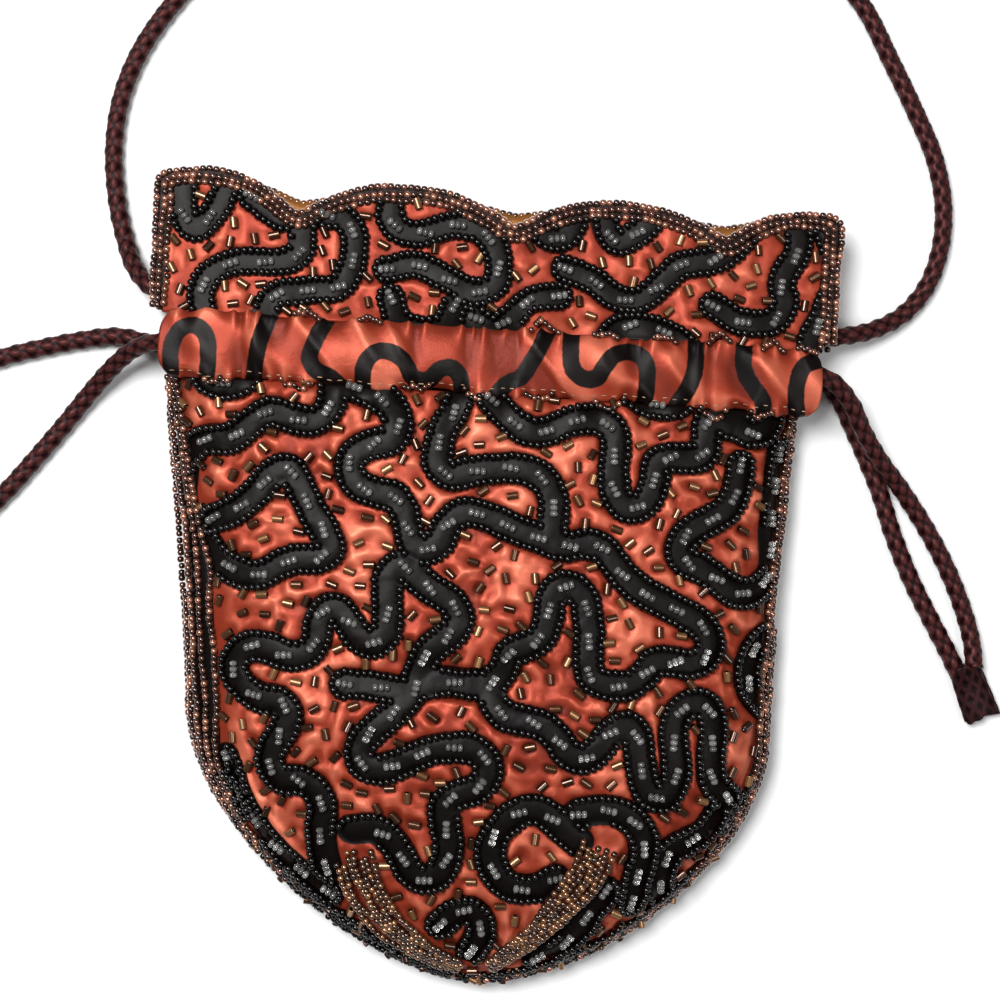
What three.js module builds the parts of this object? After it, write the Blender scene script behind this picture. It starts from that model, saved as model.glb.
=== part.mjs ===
// Beaded evening purse of printed satin, lying on its back: a drawstring pouch with a gathered casing,
// a scalloped heading above it, bead bands over its seams, one draw cord and a cord strap.
// Millimetres. +X is the purse's right, +Y runs to its mouth, +Z is up from the surface that it lies on.
import * as THREE from "three";
import { mergeVertices } from "three/addons/utils/BufferGeometryUtils.js";

// Driving dimensions
const GAP = 0.3; // between neighbouring pieces
const CLOTH = 2.4; // wall of beaded satin with its lining

const BODY = {
  mouthY: 47.6, // upper edge of the two panels
  bellyY: -36, // where the sides turn in to the rounded base
  tipY: -97.6, // lowest point of the panels
  mouthHalf: 77.8, // half width at the mouth
  bellyHalf: 71.2, // half width where the base begins
  basePower: 1.62, // of the base's outline: 2 is an ellipse, less is more pointed
  baseShare: 0.42, // of the rows, those that make the base
  baseRise: 0.9, // power by which the base swells from the tip to the belly
  taper: 1.3, // power by which the sides widen to the mouth
  mouthCentre: -1.5, // X of the middle of the mouth
  lean: 0.052, // sideways shift of the panels for each millimetre below the mouth
  seamZ: 8, // height of the side seams
  bellyZ: 26, // crown of the front panel over the belly
  mouthZ: 21.5, // crown of the front panel at the mouth
  bellyEdge: 2.6, // power of the front's cross-section: 2 is round, more is boxier
  mouthEdge: 5,
  crownPower: 2.2,
  flatShare: 0.8, // of the back's width, the part that lies flat
  tipLift: 0.2, // of the rows, those where the back rises to the tip
  mouthLift: 2.4, // rise of the back's floor to the casing
  mouthLiftFrom: 0.8,
  frontColumns: 24,
  frontRows: 26,
  backColumns: 16,
  backRows: 14,
};
const FRONT_GATHERS = { count: 6.5, depth: 0.8, from: 0.72 };
const BELLY_CREASE = { x: -6, y: -23, length: 34, width: 6, depth: 1.4 };

const CASING = {
  y: 55.5, // middle of the tunnel
  halfWidth: 82,
  halfHeight: 7.4, // outside, along Y
  halfThick: 3.7, // outside, along Z
  wall: 1.05,
  power: 2.4, // of its section's outline
  frontZ: 18,
  backZ: 5,
  endDrop: 3.6, // fall of the front tunnel to its ends
  flare: 0.18, // share by which its open ends are puffed out
  flareFrom: 68,
  gatherPitch: 13,
  gatherDrift: 0.18, // share of a pitch by which the gathers wander
  gatherDriftPitch: 107,
  frontGather: 0.9, // depth of the gathers on the outer face
  backGather: 0.45,
  sides: 8,
  outerSteps: 46,
  boreSteps: 20,
};

const HEADING = {
  footY: CASING.y + CASING.halfHeight + GAP,
  edgeX: 84.3, // middle of the bead edging down each side
  frontCrestZ: 15.4,
  backCrestZ: 2.7,
  ruffle: 0.45, // ripple of the cloth along the casing
  wave: 0.5, // slow wave along the free edge
  wavePitch: 53,
  notchY: 89.4, // of the front heading, between two scallops
  backNotchRise: 2.6, // the back heading is cut less deep
  backCrestDrop: 0.7,
  settle: 3, // power by which the cloth settles from the tunnel to its free edge
  columns: 42,
  rows: 4,
};
// Scallops of the heading, from one notch to the next; the outer two run on past the sides.
const SCALLOPS = [
  { from: -97, to: -50, crestY: 100.1 },
  { from: -50, to: 4, crestY: 98.6 },
  { from: 4, to: 56.7, crestY: 97.9 },
  { from: 56.7, to: 97, crestY: 98.2 },
];
const SCALLOP_POWER = 2.2; // 2 is a parabola

// The edging's middle runs `below` the free edge, and the cloth ends `clear` of that line.
const EDGING = {
  halfWidth: 1.2,
  halfThick: 1.25,
  below: 1.4,
  clear: 2.6,
  sides: 6,
  sideSteps: 6,
  topSteps: 40,
};
// A seam band starts tipShare of the rows above the tip and covers up to `limit` of the panels' height there.
const SEAM_BAND = {
  thick: 2.1,
  clear: 0.45,
  tipShare: 0.012,
  limit: 0.6,
  steps: 22,
  stepsAcross: 4,
  nudge: 0.004,
};
const SEAM_SIDES = [
  { name: "left_seam_band", side: -1, above: 7, below: 2 },
  { name: "right_seam_band", side: 1, above: 3.6, below: 4 },
];
const BASE_BAND = { thick: 1.9, columns: 4, rows: 9 };
// Bead bands over the two darts of the base, from the top of each dart to the bottom point.
const BASE_BANDS = [
  {
    name: "left_base_band",
    top: [-26, -66],
    bend: [-21.5, -86],
    tip: [1.5, -94.6],
    topHalf: 5.6,
    tipHalf: 2.2,
  },
  {
    name: "right_base_band",
    top: [34.5, -60.5],
    bend: [30.2, -76.4],
    tip: [9.2, -94],
    topHalf: 5,
    tipHalf: 2.2,
  },
];

const CORD = { radius: 2.25, sides: 10, step: 13 };
const TABLE_Z = 2.4; // height of a cord's middle where it lies on the surface
const TUNNEL_RUN = { steps: 6, beyond: 1.5, rightRise: 1.6 }; // the draw cord's way through a tunnel
// Where the draw cord's two strands are joined: the middle of their ends, the way on in degrees, and its sizes.
const CORD_END = {
  x: 125.5,
  y: -14.3,
  turn: -66,
  start: 1.1,
  length: 12,
  neck: 4.2,
  flare: 4.9,
  flarePower: 1.5,
  halfThick: 2.1,
  sides: 12,
  rings: 5,
};

// Routes of the cords' middles, chosen by hand.
const RIGHT_TAIL_TO_FRONT = [
  [127.2, -13.2, 4.6],
  [126.4, -6.5, 3],
  [124.2, 0.5, TABLE_Z],
  [119.6, 10.6, TABLE_Z],
  [113.4, 21, TABLE_Z],
  [106.2, 30.6, 3.7],
  [99.6, 37.8, 7],
  [94.4, 44.8, 9.7],
  [90.4, 51.6, 11.8],
];
const LEFT_LOOP = [
  [-89, 53.8, 11],
  [-94.6, 49.4, 7.4],
  [-100.6, 42.8, 3.9],
  [-107.6, 33.4, TABLE_Z],
  [-115, 23.6, TABLE_Z],
  [-121.4, 15.6, TABLE_Z],
  [-129, 8.2, TABLE_Z],
  [-138, 5.4, TABLE_Z],
  [-146, 10.4, TABLE_Z],
  [-149.6, 19.6, TABLE_Z],
  [-147.6, 30.5, TABLE_Z],
  [-141.4, 39.6, TABLE_Z],
  [-133, 46, TABLE_Z],
  [-124.4, 49.9, TABLE_Z],
  [-114.2, 53.1, TABLE_Z],
  [-104.6, 55.6, TABLE_Z],
  [-95, 57.2, 3],
];
const BACK_TO_RIGHT_TAIL = [
  [88.6, 53, 3.8],
  [92.8, 45.8, 2.7],
  [96.8, 38.2, TABLE_Z],
  [100.8, 29.8, TABLE_Z],
  [105, 19, TABLE_Z],
  [110.2, 8.1, TABLE_Z],
  [115.9, -1.8, TABLE_Z],
  [120.6, -9.6, TABLE_Z],
  [123.8, -15.4, TABLE_Z],
];
const STRAP_ROUTE = [
  [-71, 66.4, 8.4],
  [-79, 67.2, 8.4],
  [-86.4, 69.8, 8],
  [-91.4, 74.8, 5.2],
  [-94.6, 81.6, 2.6],
  [-97.3, 91, TABLE_Z],
  [-99, 104, TABLE_Z],
  [-98.2, 116.5, TABLE_Z],
  [-94.8, 128, TABLE_Z],
  [-88.5, 139.5, TABLE_Z],
  [-79, 151.5, TABLE_Z],
  [-65, 163.5, TABLE_Z],
  [-46, 174, TABLE_Z],
  [-22, 181.5, TABLE_Z],
  [6, 184.5, TABLE_Z],
  [34, 182.2, TABLE_Z],
  [58, 175, TABLE_Z],
  [76, 165.4, TABLE_Z],
  [88.4, 153.6, TABLE_Z],
  [96.8, 139.6, TABLE_Z],
  [103.8, 127, TABLE_Z],
  [109.4, 115.6, TABLE_Z],
  [112.4, 104, TABLE_Z],
  [112.4, 93, TABLE_Z],
  [109.6, 83, TABLE_Z],
  [104, 75.4, 2.7],
  [96, 70.6, 5],
  [87.6, 68.2, 7.9],
  [79, 67, 8.4],
  [71, 66.4, 8.4],
];

const COLOURS = {
  satin: { color: "#c4512f", roughness: 0.45, metalness: 0 },
  bronzeBeads: { color: "#6e4a30", roughness: 0.3, metalness: 0.6 },
  cord: { color: "#4a1f22", roughness: 0.6, metalness: 0 },
};

const TURN = 2 * Math.PI;
const WELD = 1e-3;
const { lerp, clamp, degToRad } = THREE.MathUtils;
const signedPower = (value, power) => Math.sign(value) * Math.abs(value) ** power;

// Closed bodies from points and triangles, faced outwards by the sign of their volume.
function closedBody(points, faces) {
  const welded = mergeVertices(new THREE.BufferGeometry().setFromPoints(points).setIndex(faces), WELD);
  const place = welded.getAttribute("position");
  const corner = (index) => new THREE.Vector3().fromBufferAttribute(place, index);
  const triangles = [];
  let volume = 0;
  for (let start = 0; start < welded.index.count; start += 3) {
    const [a, b, c] = welded.index.array.slice(start, start + 3);
    if (a === b || b === c || c === a) continue;
    triangles.push([a, b, c]);
    volume += corner(a).dot(corner(b).cross(corner(c)));
  }
  const outward = volume < 0 ? triangles.map(([a, b, c]) => [a, c, b]) : triangles;
  welded.setIndex(outward.flat());
  welded.computeVertexNormals();
  return welded;
}

// A wall between two faces on the same grid, with u over [-1, 1] across it and v over [0, 1] along it.
function wallBody(columns, rows, upper, lower) {
  const points = [];
  const faces = [];
  for (const face of [upper, lower]) {
    for (let row = 0; row <= rows; row++) {
      for (let column = 0; column <= columns; column++) {
        points.push(face((2 * column) / columns - 1, row / rows));
      }
    }
  }
  const under = (columns + 1) * (rows + 1);
  const at = (column, row) => row * (columns + 1) + column;
  const quad = (a, b, c, d) => faces.push(a, b, c, a, c, d);
  const edge = (a, b) => quad(a + under, b + under, b, a);
  for (let row = 0; row < rows; row++) {
    for (let column = 0; column < columns; column++) {
      const corners = [at(column, row), at(column + 1, row), at(column + 1, row + 1), at(column, row + 1)];
      quad(...corners);
      quad(...corners.reverse().map((index) => index + under));
    }
    edge(at(0, row + 1), at(0, row));
    edge(at(columns, row), at(columns, row + 1));
  }
  for (let column = 0; column < columns; column++) {
    edge(at(column, 0), at(column + 1, 0));
    edge(at(column + 1, rows), at(column, rows));
  }
  return closedBody(points, faces);
}

// Quads between each ring of points and the next, numbered from `first`.
function ringSides(rings, first) {
  const sides = rings[0].length;
  const faces = [];
  for (let ring = 0; ring < rings.length - 1; ring++) {
    for (let side = 0; side < sides; side++) {
      const a = first + ring * sides + side;
      const b = first + ring * sides + ((side + 1) % sides);
      faces.push(a, b, b + sides, a, b + sides, a + sides);
    }
  }
  return faces;
}

// A solid carried through rings of points, closed by a fan at each end.
function loftBody(rings) {
  const sides = rings[0].length;
  const last = (rings.length - 1) * sides;
  const faces = ringSides(rings, 0);
  for (let side = 1; side < sides - 1; side++) {
    faces.push(0, side + 1, side);
    faces.push(last, last + side, last + side + 1);
  }
  return closedBody(rings.flat(), faces);
}

// A pipe: outer rings, inner rings, and a flat rim between them at each end.
function pipeBody(outer, inner) {
  const sides = outer[0].length;
  const innerFirst = outer.length * sides;
  const outerLast = innerFirst - sides;
  const innerLast = innerFirst + (inner.length - 1) * sides;
  const bore = ringSides(inner, innerFirst);
  const faces = ringSides(outer, 0);
  for (let start = 0; start < bore.length; start += 3) {
    faces.push(bore[start], bore[start + 2], bore[start + 1]);
  }
  for (let side = 0; side < sides; side++) {
    const next = (side + 1) % sides;
    faces.push(side, innerFirst + side, innerFirst + next, side, innerFirst + next, next);
    faces.push(outerLast + side, outerLast + next, innerLast + next);
    faces.push(outerLast + side, innerLast + next, innerLast + side);
  }
  return closedBody([...outer.flat(), ...inner.flat()], faces);
}

// The panels' cross-section at height y: its half width, and how far the base and the mouth have shaped it.
function panelSection(y, inset) {
  const half = BODY.bellyHalf - inset;
  if (y < BODY.bellyY) {
    const down = clamp((BODY.bellyY - y) / (BODY.bellyY - BODY.tipY - inset), 0, 1);
    const angle = Math.acos(down ** (BODY.basePower / 2));
    const width = half * Math.sin(angle) ** (2 / BODY.basePower);
    return { half: width, rise: Math.sin(angle) ** BODY.baseRise, mouth: 0 };
  }
  const mouth = (y - BODY.bellyY) / (BODY.mouthY - BODY.bellyY);
  return { half: lerp(half, BODY.mouthHalf - inset, mouth ** BODY.taper), rise: 1, mouth };
}

// Height along the purse of a grid row, with the base's rows closing up towards the tip.
function rowY(v, inset) {
  if (v >= BODY.baseShare) {
    return lerp(BODY.bellyY, BODY.mouthY, (v - BODY.baseShare) / (1 - BODY.baseShare));
  }
  const angle = (v / BODY.baseShare) * (TURN / 4);
  return BODY.bellyY - (BODY.bellyY - BODY.tipY - inset) * Math.cos(angle) ** (2 / BODY.basePower);
}

const bodyCentre = (y) => BODY.mouthCentre + BODY.lean * (BODY.mouthY - y);
const edgePower = (section) => lerp(BODY.bellyEdge, BODY.mouthEdge, section.mouth);
const crownHeight = (section) => (lerp(BODY.bellyZ, BODY.mouthZ, section.mouth) - BODY.seamZ) * section.rise;

// Gathers under the casing and the crease across the belly, as a change of height.
function frontFolds(x, y, q, mouth) {
  const near = clamp((mouth - FRONT_GATHERS.from) / (1 - FRONT_GATHERS.from), 0, 1) ** 2;
  const gathers = FRONT_GATHERS.depth * near * (1 - q ** 4) * Math.cos(TURN * FRONT_GATHERS.count * q);
  const along = (x - BELLY_CREASE.x) / BELLY_CREASE.length;
  const across = (y - BELLY_CREASE.y) / BELLY_CREASE.width;
  return gathers - BELLY_CREASE.depth * Math.exp(-(along ** 4) - across ** 2);
}

// Front panel's height over the seam's plane where it is q of the way out to its side.
function frontHeight(q, y, inset) {
  const section = panelSection(y, inset);
  const dome = Math.max(0, 1 - Math.abs(q) ** edgePower(section)) ** (1 / BODY.crownPower);
  const x = bodyCentre(y) + q * section.half;
  return (crownHeight(section) - inset) * dome + frontFolds(x, y, q, section.mouth) * dome;
}

function frontPoint(u, v, inset) {
  const q = u * (1.5 - 0.5 * u * u); // columns crowd towards the steep sides
  const y = rowY(v, inset);
  const x = bodyCentre(y) + q * panelSection(y, inset).half;
  const height = Math.max(0, frontHeight(q, y, inset));
  return new THREE.Vector3(x, y, BODY.seamZ + GAP / 2 + height);
}

// Back panel: flat on the surface, curving up to the side seams, to the tip and a little to the casing.
function backPoint(u, v, inset) {
  const rim = BODY.seamZ - GAP / 2;
  const y = rowY(v, inset);
  const section = panelSection(y, inset);
  const tip = Math.max(0, 1 - v / BODY.tipLift) ** 2;
  const mouth = Math.max(0, (section.mouth - BODY.mouthLiftFrom) / (1 - BODY.mouthLiftFrom)) ** 2;
  const floor = lerp(BODY.mouthLift * mouth + inset, rim, tip);
  const side = Math.max(0, (Math.abs(u) - BODY.flatShare) / (1 - BODY.flatShare)) ** 2;
  return new THREE.Vector3(bodyCentre(y) + u * section.half, y, lerp(floor, rim, side));
}

const frontPanel = () =>
  wallBody(
    BODY.frontColumns,
    BODY.frontRows,
    (u, v) => frontPoint(u, v, 0),
    (u, v) => frontPoint(u, v, CLOTH),
  );

const backPanel = () =>
  wallBody(
    BODY.backColumns,
    BODY.backRows,
    (u, v) => backPoint(u, v, CLOTH),
    (u, v) => backPoint(u, v, 0),
  );

// Middle height of the front (+1) or back (-1) tunnel at x.
function casingZ(face, x) {
  if (face < 0) return CASING.backZ;
  return CASING.frontZ - CASING.endDrop * Math.abs(x / CASING.halfWidth) ** 3;
}

// One ring of a tunnel; its gathers swell the outer face alone.
function casingRing(face, x, inset) {
  const drift = CASING.gatherDrift * Math.sin((TURN * x) / CASING.gatherDriftPitch);
  const phase = TURN * (x / CASING.gatherPitch + drift);
  const depth = face < 0 ? CASING.backGather : CASING.frontGather;
  const swell = inset > 0 ? 0 : depth * (0.5 + 0.5 * Math.cos(phase));
  const open = Math.max(0, (Math.abs(x) - CASING.flareFrom) / (CASING.halfWidth - CASING.flareFrom));
  const halfThick = CASING.halfThick * (1 + CASING.flare * open ** 2) - inset;
  const ring = [];
  for (let side = 0; side < CASING.sides; side++) {
    const angle = (side / CASING.sides) * TURN;
    const across = signedPower(Math.cos(angle), 2 / CASING.power) * (CASING.halfHeight - inset);
    const out = signedPower(Math.sin(angle), 2 / CASING.power);
    const z = casingZ(face, x) + out * halfThick + face * swell * Math.max(0, face * out);
    ring.push(new THREE.Vector3(x, CASING.y + across, z));
  }
  return ring;
}

function casingRings(face, steps, inset) {
  const spread = (step) => lerp(-CASING.halfWidth, CASING.halfWidth, step / steps);
  return Array.from({ length: steps + 1 }, (_, step) => casingRing(face, spread(step), inset));
}

const casing = (face) =>
  pipeBody(casingRings(face, CASING.outerSteps, 0), casingRings(face, CASING.boreSteps, CASING.wall));

// Free edge of the heading at x: a row of scallops that meet in notches.
function scallopY(face, x) {
  const scallop = SCALLOPS.find(({ to }) => x <= to);
  const notch = HEADING.notchY + (face < 0 ? HEADING.backNotchRise : 0);
  const crest = scallop.crestY - (face < 0 ? HEADING.backCrestDrop : 0);
  const share = (x - scallop.from) / (scallop.to - scallop.from);
  return lerp(crest, notch, Math.abs(2 * share - 1) ** SCALLOP_POWER);
}

// Middle of the heading's cloth: it leaves the tunnel's middle and settles to the height of its free edge.
function headingZ(face, x, y) {
  const up = clamp((y - HEADING.footY) / (HEADING.notchY - HEADING.footY), 0, 1);
  const crest = face < 0 ? HEADING.backCrestZ : HEADING.frontCrestZ;
  const settle = (1 - up) ** HEADING.settle;
  const ruffle = HEADING.ruffle * settle * Math.cos((TURN * x) / CASING.gatherPitch);
  const wave = HEADING.wave * up * Math.cos((TURN * x) / HEADING.wavePitch);
  return lerp(crest, casingZ(face, x), settle) + ruffle + wave;
}

function heading(face) {
  const halfWidth = HEADING.edgeX - EDGING.halfWidth - GAP;
  const facePoint = (u, v, side) => {
    const x = u * halfWidth;
    const y = lerp(HEADING.footY, scallopY(face, x) - EDGING.below - EDGING.clear, v);
    return new THREE.Vector3(x, y, headingZ(face, x, y) + (side * CLOTH) / 2);
  };
  return wallBody(
    HEADING.columns,
    HEADING.rows,
    (u, v) => facePoint(u, v, 1),
    (u, v) => facePoint(u, v, -1),
  );
}

// Middle line of the bead edging: up one side, along the scallops and down the other side.
function edgingPath(face) {
  const { sideSteps, topSteps } = EDGING;
  const edgeY = (x) => scallopY(face, x) - EDGING.below;
  const path = [];
  for (let step = 0; step < sideSteps; step++) {
    const y = lerp(HEADING.footY + GAP, edgeY(-HEADING.edgeX), step / sideSteps);
    path.push(new THREE.Vector2(-HEADING.edgeX, y));
  }
  for (let step = 0; step <= topSteps; step++) {
    const x = lerp(-HEADING.edgeX, HEADING.edgeX, step / topSteps);
    path.push(new THREE.Vector2(x, edgeY(x)));
  }
  for (let step = sideSteps - 1; step >= 0; step--) {
    const y = lerp(HEADING.footY + GAP, edgeY(HEADING.edgeX), step / sideSteps);
    path.push(new THREE.Vector2(HEADING.edgeX, y));
  }
  return path;
}

function edging(face) {
  const path = edgingPath(face);
  const rings = path.map((point, index) => {
    const before = path[Math.max(0, index - 1)];
    const after = path[Math.min(path.length - 1, index + 1)];
    const along = after.clone().sub(before).normalize();
    return Array.from({ length: EDGING.sides }, (_, side) => {
      const angle = (side / EDGING.sides) * TURN;
      const out = EDGING.halfWidth * Math.cos(angle);
      const z = headingZ(face, point.x, point.y) + EDGING.halfThick * Math.sin(angle);
      return new THREE.Vector3(point.x - along.y * out, point.y + along.x * out, z);
    });
  });
  return loftBody(rings);
}

// How far in from the outline the panels lie at height z.
function sideInset(section, z) {
  const crown = crownHeight(section);
  if (z >= BODY.seamZ) {
    const share = ((z - BODY.seamZ) / crown) ** BODY.crownPower;
    return section.half * (1 - (1 - share) ** (1 / edgePower(section)));
  }
  return section.half * (1 - BODY.flatShare) * (1 - Math.sqrt(z / BODY.seamZ));
}

// Bead band over a side seam: it lies on the panels from the mouth down to the tip.
function seamBand({ side, above, below }) {
  const outline = (v) => {
    const y = rowY(v, 0);
    return new THREE.Vector2(bodyCentre(y) + side * panelSection(y, 0).half, y);
  };
  const rings = Array.from({ length: SEAM_BAND.steps + 1 }, (_, step) => {
    const v = lerp(SEAM_BAND.tipShare, 1, step / SEAM_BAND.steps);
    const along = outline(Math.min(1, v + SEAM_BAND.nudge)).sub(outline(v - SEAM_BAND.nudge)).normalize();
    const out = new THREE.Vector2(along.y, -along.x).multiplyScalar(side);
    const place = outline(v);
    const section = panelSection(place.y, 0);
    const high = BODY.seamZ + Math.min(above, SEAM_BAND.limit * crownHeight(section));
    const low = BODY.seamZ - Math.min(below, SEAM_BAND.limit * BODY.seamZ * section.rise);
    const inner = [];
    const outer = [];
    for (let across = 0; across <= SEAM_BAND.stepsAcross; across++) {
      const z = lerp(low, high, across / SEAM_BAND.stepsAcross);
      const offset = SEAM_BAND.clear - sideInset(section, z) * out.x ** 2;
      const at = (distance) => new THREE.Vector3(place.x + out.x * distance, place.y + out.y * distance, z);
      inner.push(at(offset));
      outer.push(at(offset + SEAM_BAND.thick));
    }
    return [...inner, ...outer.reverse()];
  });
  return loftBody(rings);
}

// Bead band over a dart of the base: a strip that lies on the front panel and narrows to the bottom point.
function baseBand({ top, bend, tip, topHalf, tipHalf }) {
  const [from, middle, to] = [top, bend, tip].map(([x, y]) => new THREE.Vector2(x, y));
  const path = new THREE.QuadraticBezierCurve(from, middle, to);
  const facePoint = (u, v, lift) => {
    const along = path.getTangent(v);
    const reach = u * lerp(topHalf, tipHalf, v ** 2);
    const place = path.getPoint(v).add(new THREE.Vector2(-along.y, along.x).multiplyScalar(reach));
    const q = (place.x - bodyCentre(place.y)) / panelSection(place.y, 0).half;
    const z = BODY.seamZ + GAP / 2 + frontHeight(q, place.y, 0);
    return new THREE.Vector3(place.x, place.y, z + GAP + lift);
  };
  return wallBody(
    BASE_BAND.columns,
    BASE_BAND.rows,
    (u, v) => facePoint(u, v, BASE_BAND.thick),
    (u, v) => facePoint(u, v, 0),
  );
}

// A cord: a round section carried along the smooth curve through its route.
function cordTube(route) {
  const corners = Array.from({ length: CORD.sides }, (_, side) => {
    const angle = (side / CORD.sides) * TURN;
    return new THREE.Vector2(CORD.radius * Math.cos(angle), CORD.radius * Math.sin(angle));
  });
  const extrudePath = new THREE.CatmullRomCurve3(route.map(([x, y, z]) => new THREE.Vector3(x, y, z)));
  const steps = Math.round(extrudePath.getLength() / CORD.step);
  return new THREE.ExtrudeGeometry(new THREE.Shape(corners), { steps, bevelEnabled: false, extrudePath });
}

// The draw cord runs through the front tunnel, round its left loop and back through the other tunnel.
function drawCordRoute() {
  const end = CASING.halfWidth + TUNNEL_RUN.beyond;
  const right = { x: end, y: CASING.y + TUNNEL_RUN.rightRise };
  const left = { x: -end, y: CASING.y };
  const through = (face, from, to) =>
    Array.from({ length: TUNNEL_RUN.steps + 1 }, (_, step) => {
      const share = step / TUNNEL_RUN.steps;
      const x = lerp(from.x, to.x, share);
      return [x, lerp(from.y, to.y, share), casingZ(face, x)];
    });
  return [
    ...RIGHT_TAIL_TO_FRONT,
    ...through(1, right, left),
    ...LEFT_LOOP,
    ...through(-1, left, right),
    ...BACK_TO_RIGHT_TAIL,
  ];
}

// Joined end of the draw cord: an oval section that flares away from the two strands.
function cordEnd() {
  const { halfThick, sides, rings: steps } = CORD_END;
  const along = new THREE.Vector2(1, 0).rotateAround(new THREE.Vector2(), degToRad(CORD_END.turn));
  const rings = Array.from({ length: steps + 1 }, (_, ring) => {
    const share = ring / steps;
    const reach = CORD_END.start + share * CORD_END.length;
    const half = lerp(CORD_END.neck, CORD_END.flare, share ** CORD_END.flarePower);
    return Array.from({ length: sides }, (_, side) => {
      const angle = (side / sides) * TURN;
      const across = half * Math.cos(angle);
      const x = CORD_END.x + along.x * reach - along.y * across;
      const y = CORD_END.y + along.y * reach + along.x * across;
      return new THREE.Vector3(x, y, TABLE_Z + halfThick * Math.sin(angle));
    });
  });
  return loftBody(rings);
}

function addPiece(group, name, geometry, finish) {
  const piece = new THREE.Mesh(geometry, new THREE.MeshStandardMaterial(finish));
  piece.name = name;
  group.add(piece);
}

const purse = new THREE.Group();
const pouch = new THREE.Group();
const cords = new THREE.Group();
purse.add(pouch, cords);

addPiece(pouch, "front_panel", frontPanel(), COLOURS.satin);
addPiece(pouch, "back_panel", backPanel(), COLOURS.satin);
for (const [name, face] of [["front", 1], ["back", -1]]) {
  addPiece(pouch, `${name}_casing`, casing(face), COLOURS.satin);
  addPiece(pouch, `${name}_heading`, heading(face), COLOURS.satin);
  addPiece(pouch, `${name}_edging`, edging(face), COLOURS.bronzeBeads);
}
for (const band of SEAM_SIDES) addPiece(pouch, band.name, seamBand(band), COLOURS.bronzeBeads);
for (const band of BASE_BANDS) addPiece(pouch, band.name, baseBand(band), COLOURS.bronzeBeads);
addPiece(cords, "draw_cord", cordTube(drawCordRoute()), COLOURS.cord);
addPiece(cords, "cord_end", cordEnd(), COLOURS.cord);
addPiece(cords, "strap", cordTube(STRAP_ROUTE), COLOURS.cord);

export default purse;
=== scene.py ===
"""Beaded evening purse lying on its back: printed satin, sewn beads, bead bands and braided cords.

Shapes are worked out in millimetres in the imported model's frame (+X to the purse's right, +Y to its mouth,
+Z up from the table) and go into their meshes in metres.
"""
import itertools
import math

import bpy
import numpy as np
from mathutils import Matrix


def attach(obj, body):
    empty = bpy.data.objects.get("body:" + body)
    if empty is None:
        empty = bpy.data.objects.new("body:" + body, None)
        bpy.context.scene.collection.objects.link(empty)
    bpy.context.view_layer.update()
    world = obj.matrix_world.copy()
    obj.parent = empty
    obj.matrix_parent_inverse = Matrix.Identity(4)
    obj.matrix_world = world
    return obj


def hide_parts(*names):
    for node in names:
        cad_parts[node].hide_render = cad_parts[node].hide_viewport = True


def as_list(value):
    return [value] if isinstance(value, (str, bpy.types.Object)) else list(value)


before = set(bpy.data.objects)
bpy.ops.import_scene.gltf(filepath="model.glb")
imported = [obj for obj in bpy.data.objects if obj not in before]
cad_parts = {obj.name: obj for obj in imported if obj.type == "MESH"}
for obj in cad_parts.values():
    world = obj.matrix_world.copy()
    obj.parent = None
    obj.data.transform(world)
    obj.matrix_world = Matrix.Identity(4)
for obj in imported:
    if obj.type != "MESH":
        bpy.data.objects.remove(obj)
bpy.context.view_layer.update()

MM = 0.001
TURN = 2 * math.pi

# The body's shape, with the same values as its solids
MOUTH_Y, BELLY_Y, TIP_Y = 47.6, -36.0, -97.6
MOUTH_HALF, BELLY_HALF = 77.8, 71.2
BASE_POWER, BASE_RISE, BASE_SHARE = 1.62, 0.9, 0.42
TAPER = 1.3
MOUTH_CENTRE, LEAN = -1.5, 0.052
SEAM_Z, BELLY_Z, MOUTH_Z = 8.0, 26.0, 21.5
SEAM_GAP = 0.15
BELLY_EDGE, MOUTH_EDGE, CROWN_POWER = 2.6, 5.0, 2.2
FLAT_SHARE, TIP_LIFT = 0.8, 0.2
MOUTH_LIFT, MOUTH_LIFT_FROM = 2.4, 0.8
GATHER_COUNT, GATHER_DEPTH, GATHER_FROM = 6.5, 0.8, 0.72
MOUTH_ROLL, MOUTH_ROLL_LENGTH = 1.0, 4.0  # of the front panel's upper edge, down into the casing's seam
CREASE_X, CREASE_Y, CREASE_LENGTH, CREASE_WIDTH, CREASE_DEPTH = -6.0, -23.0, 34.0, 6.0, 1.4

# Casing, heading and bead edging
CASING_Y, CASING_HALF_WIDTH, CASING_HALF_HEIGHT, CASING_HALF_THICK = 55.5, 82.0, 7.4, 3.7
CASING_Z = {1: 18.0, -1: 5.0}
CASING_END_DROP = {1: 3.6, -1: 0.0}
CASING_FLARE, CASING_FLARE_FROM = 0.18, 68.0
GATHER_PITCH = 13.0
HEADING_FOOT, HEADING_NOTCH, HEADING_EDGE = 63.2, 89.4, 84.3
HEADING_Z = {1: 15.4, -1: 2.7}
HEADING_RUFFLE, HEADING_WAVE, HEADING_WAVE_PITCH = 0.45, 0.5, 53.0
BACK_NOTCH_RISE, BACK_CREST_DROP = 5.0, 0.7  # notches higher than the solid's, so that the lining shows
SCALLOP_ENDS = np.array([-97.0, -50.0, 4.0, 56.7, 97.0])
SCALLOP_CRESTS = np.array([100.1, 98.6, 97.9, 98.2])
SCALLOP_POWER = 2.2
EDGING_BELOW = 1.4  # of the edging's middle below a heading's free edge

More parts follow.
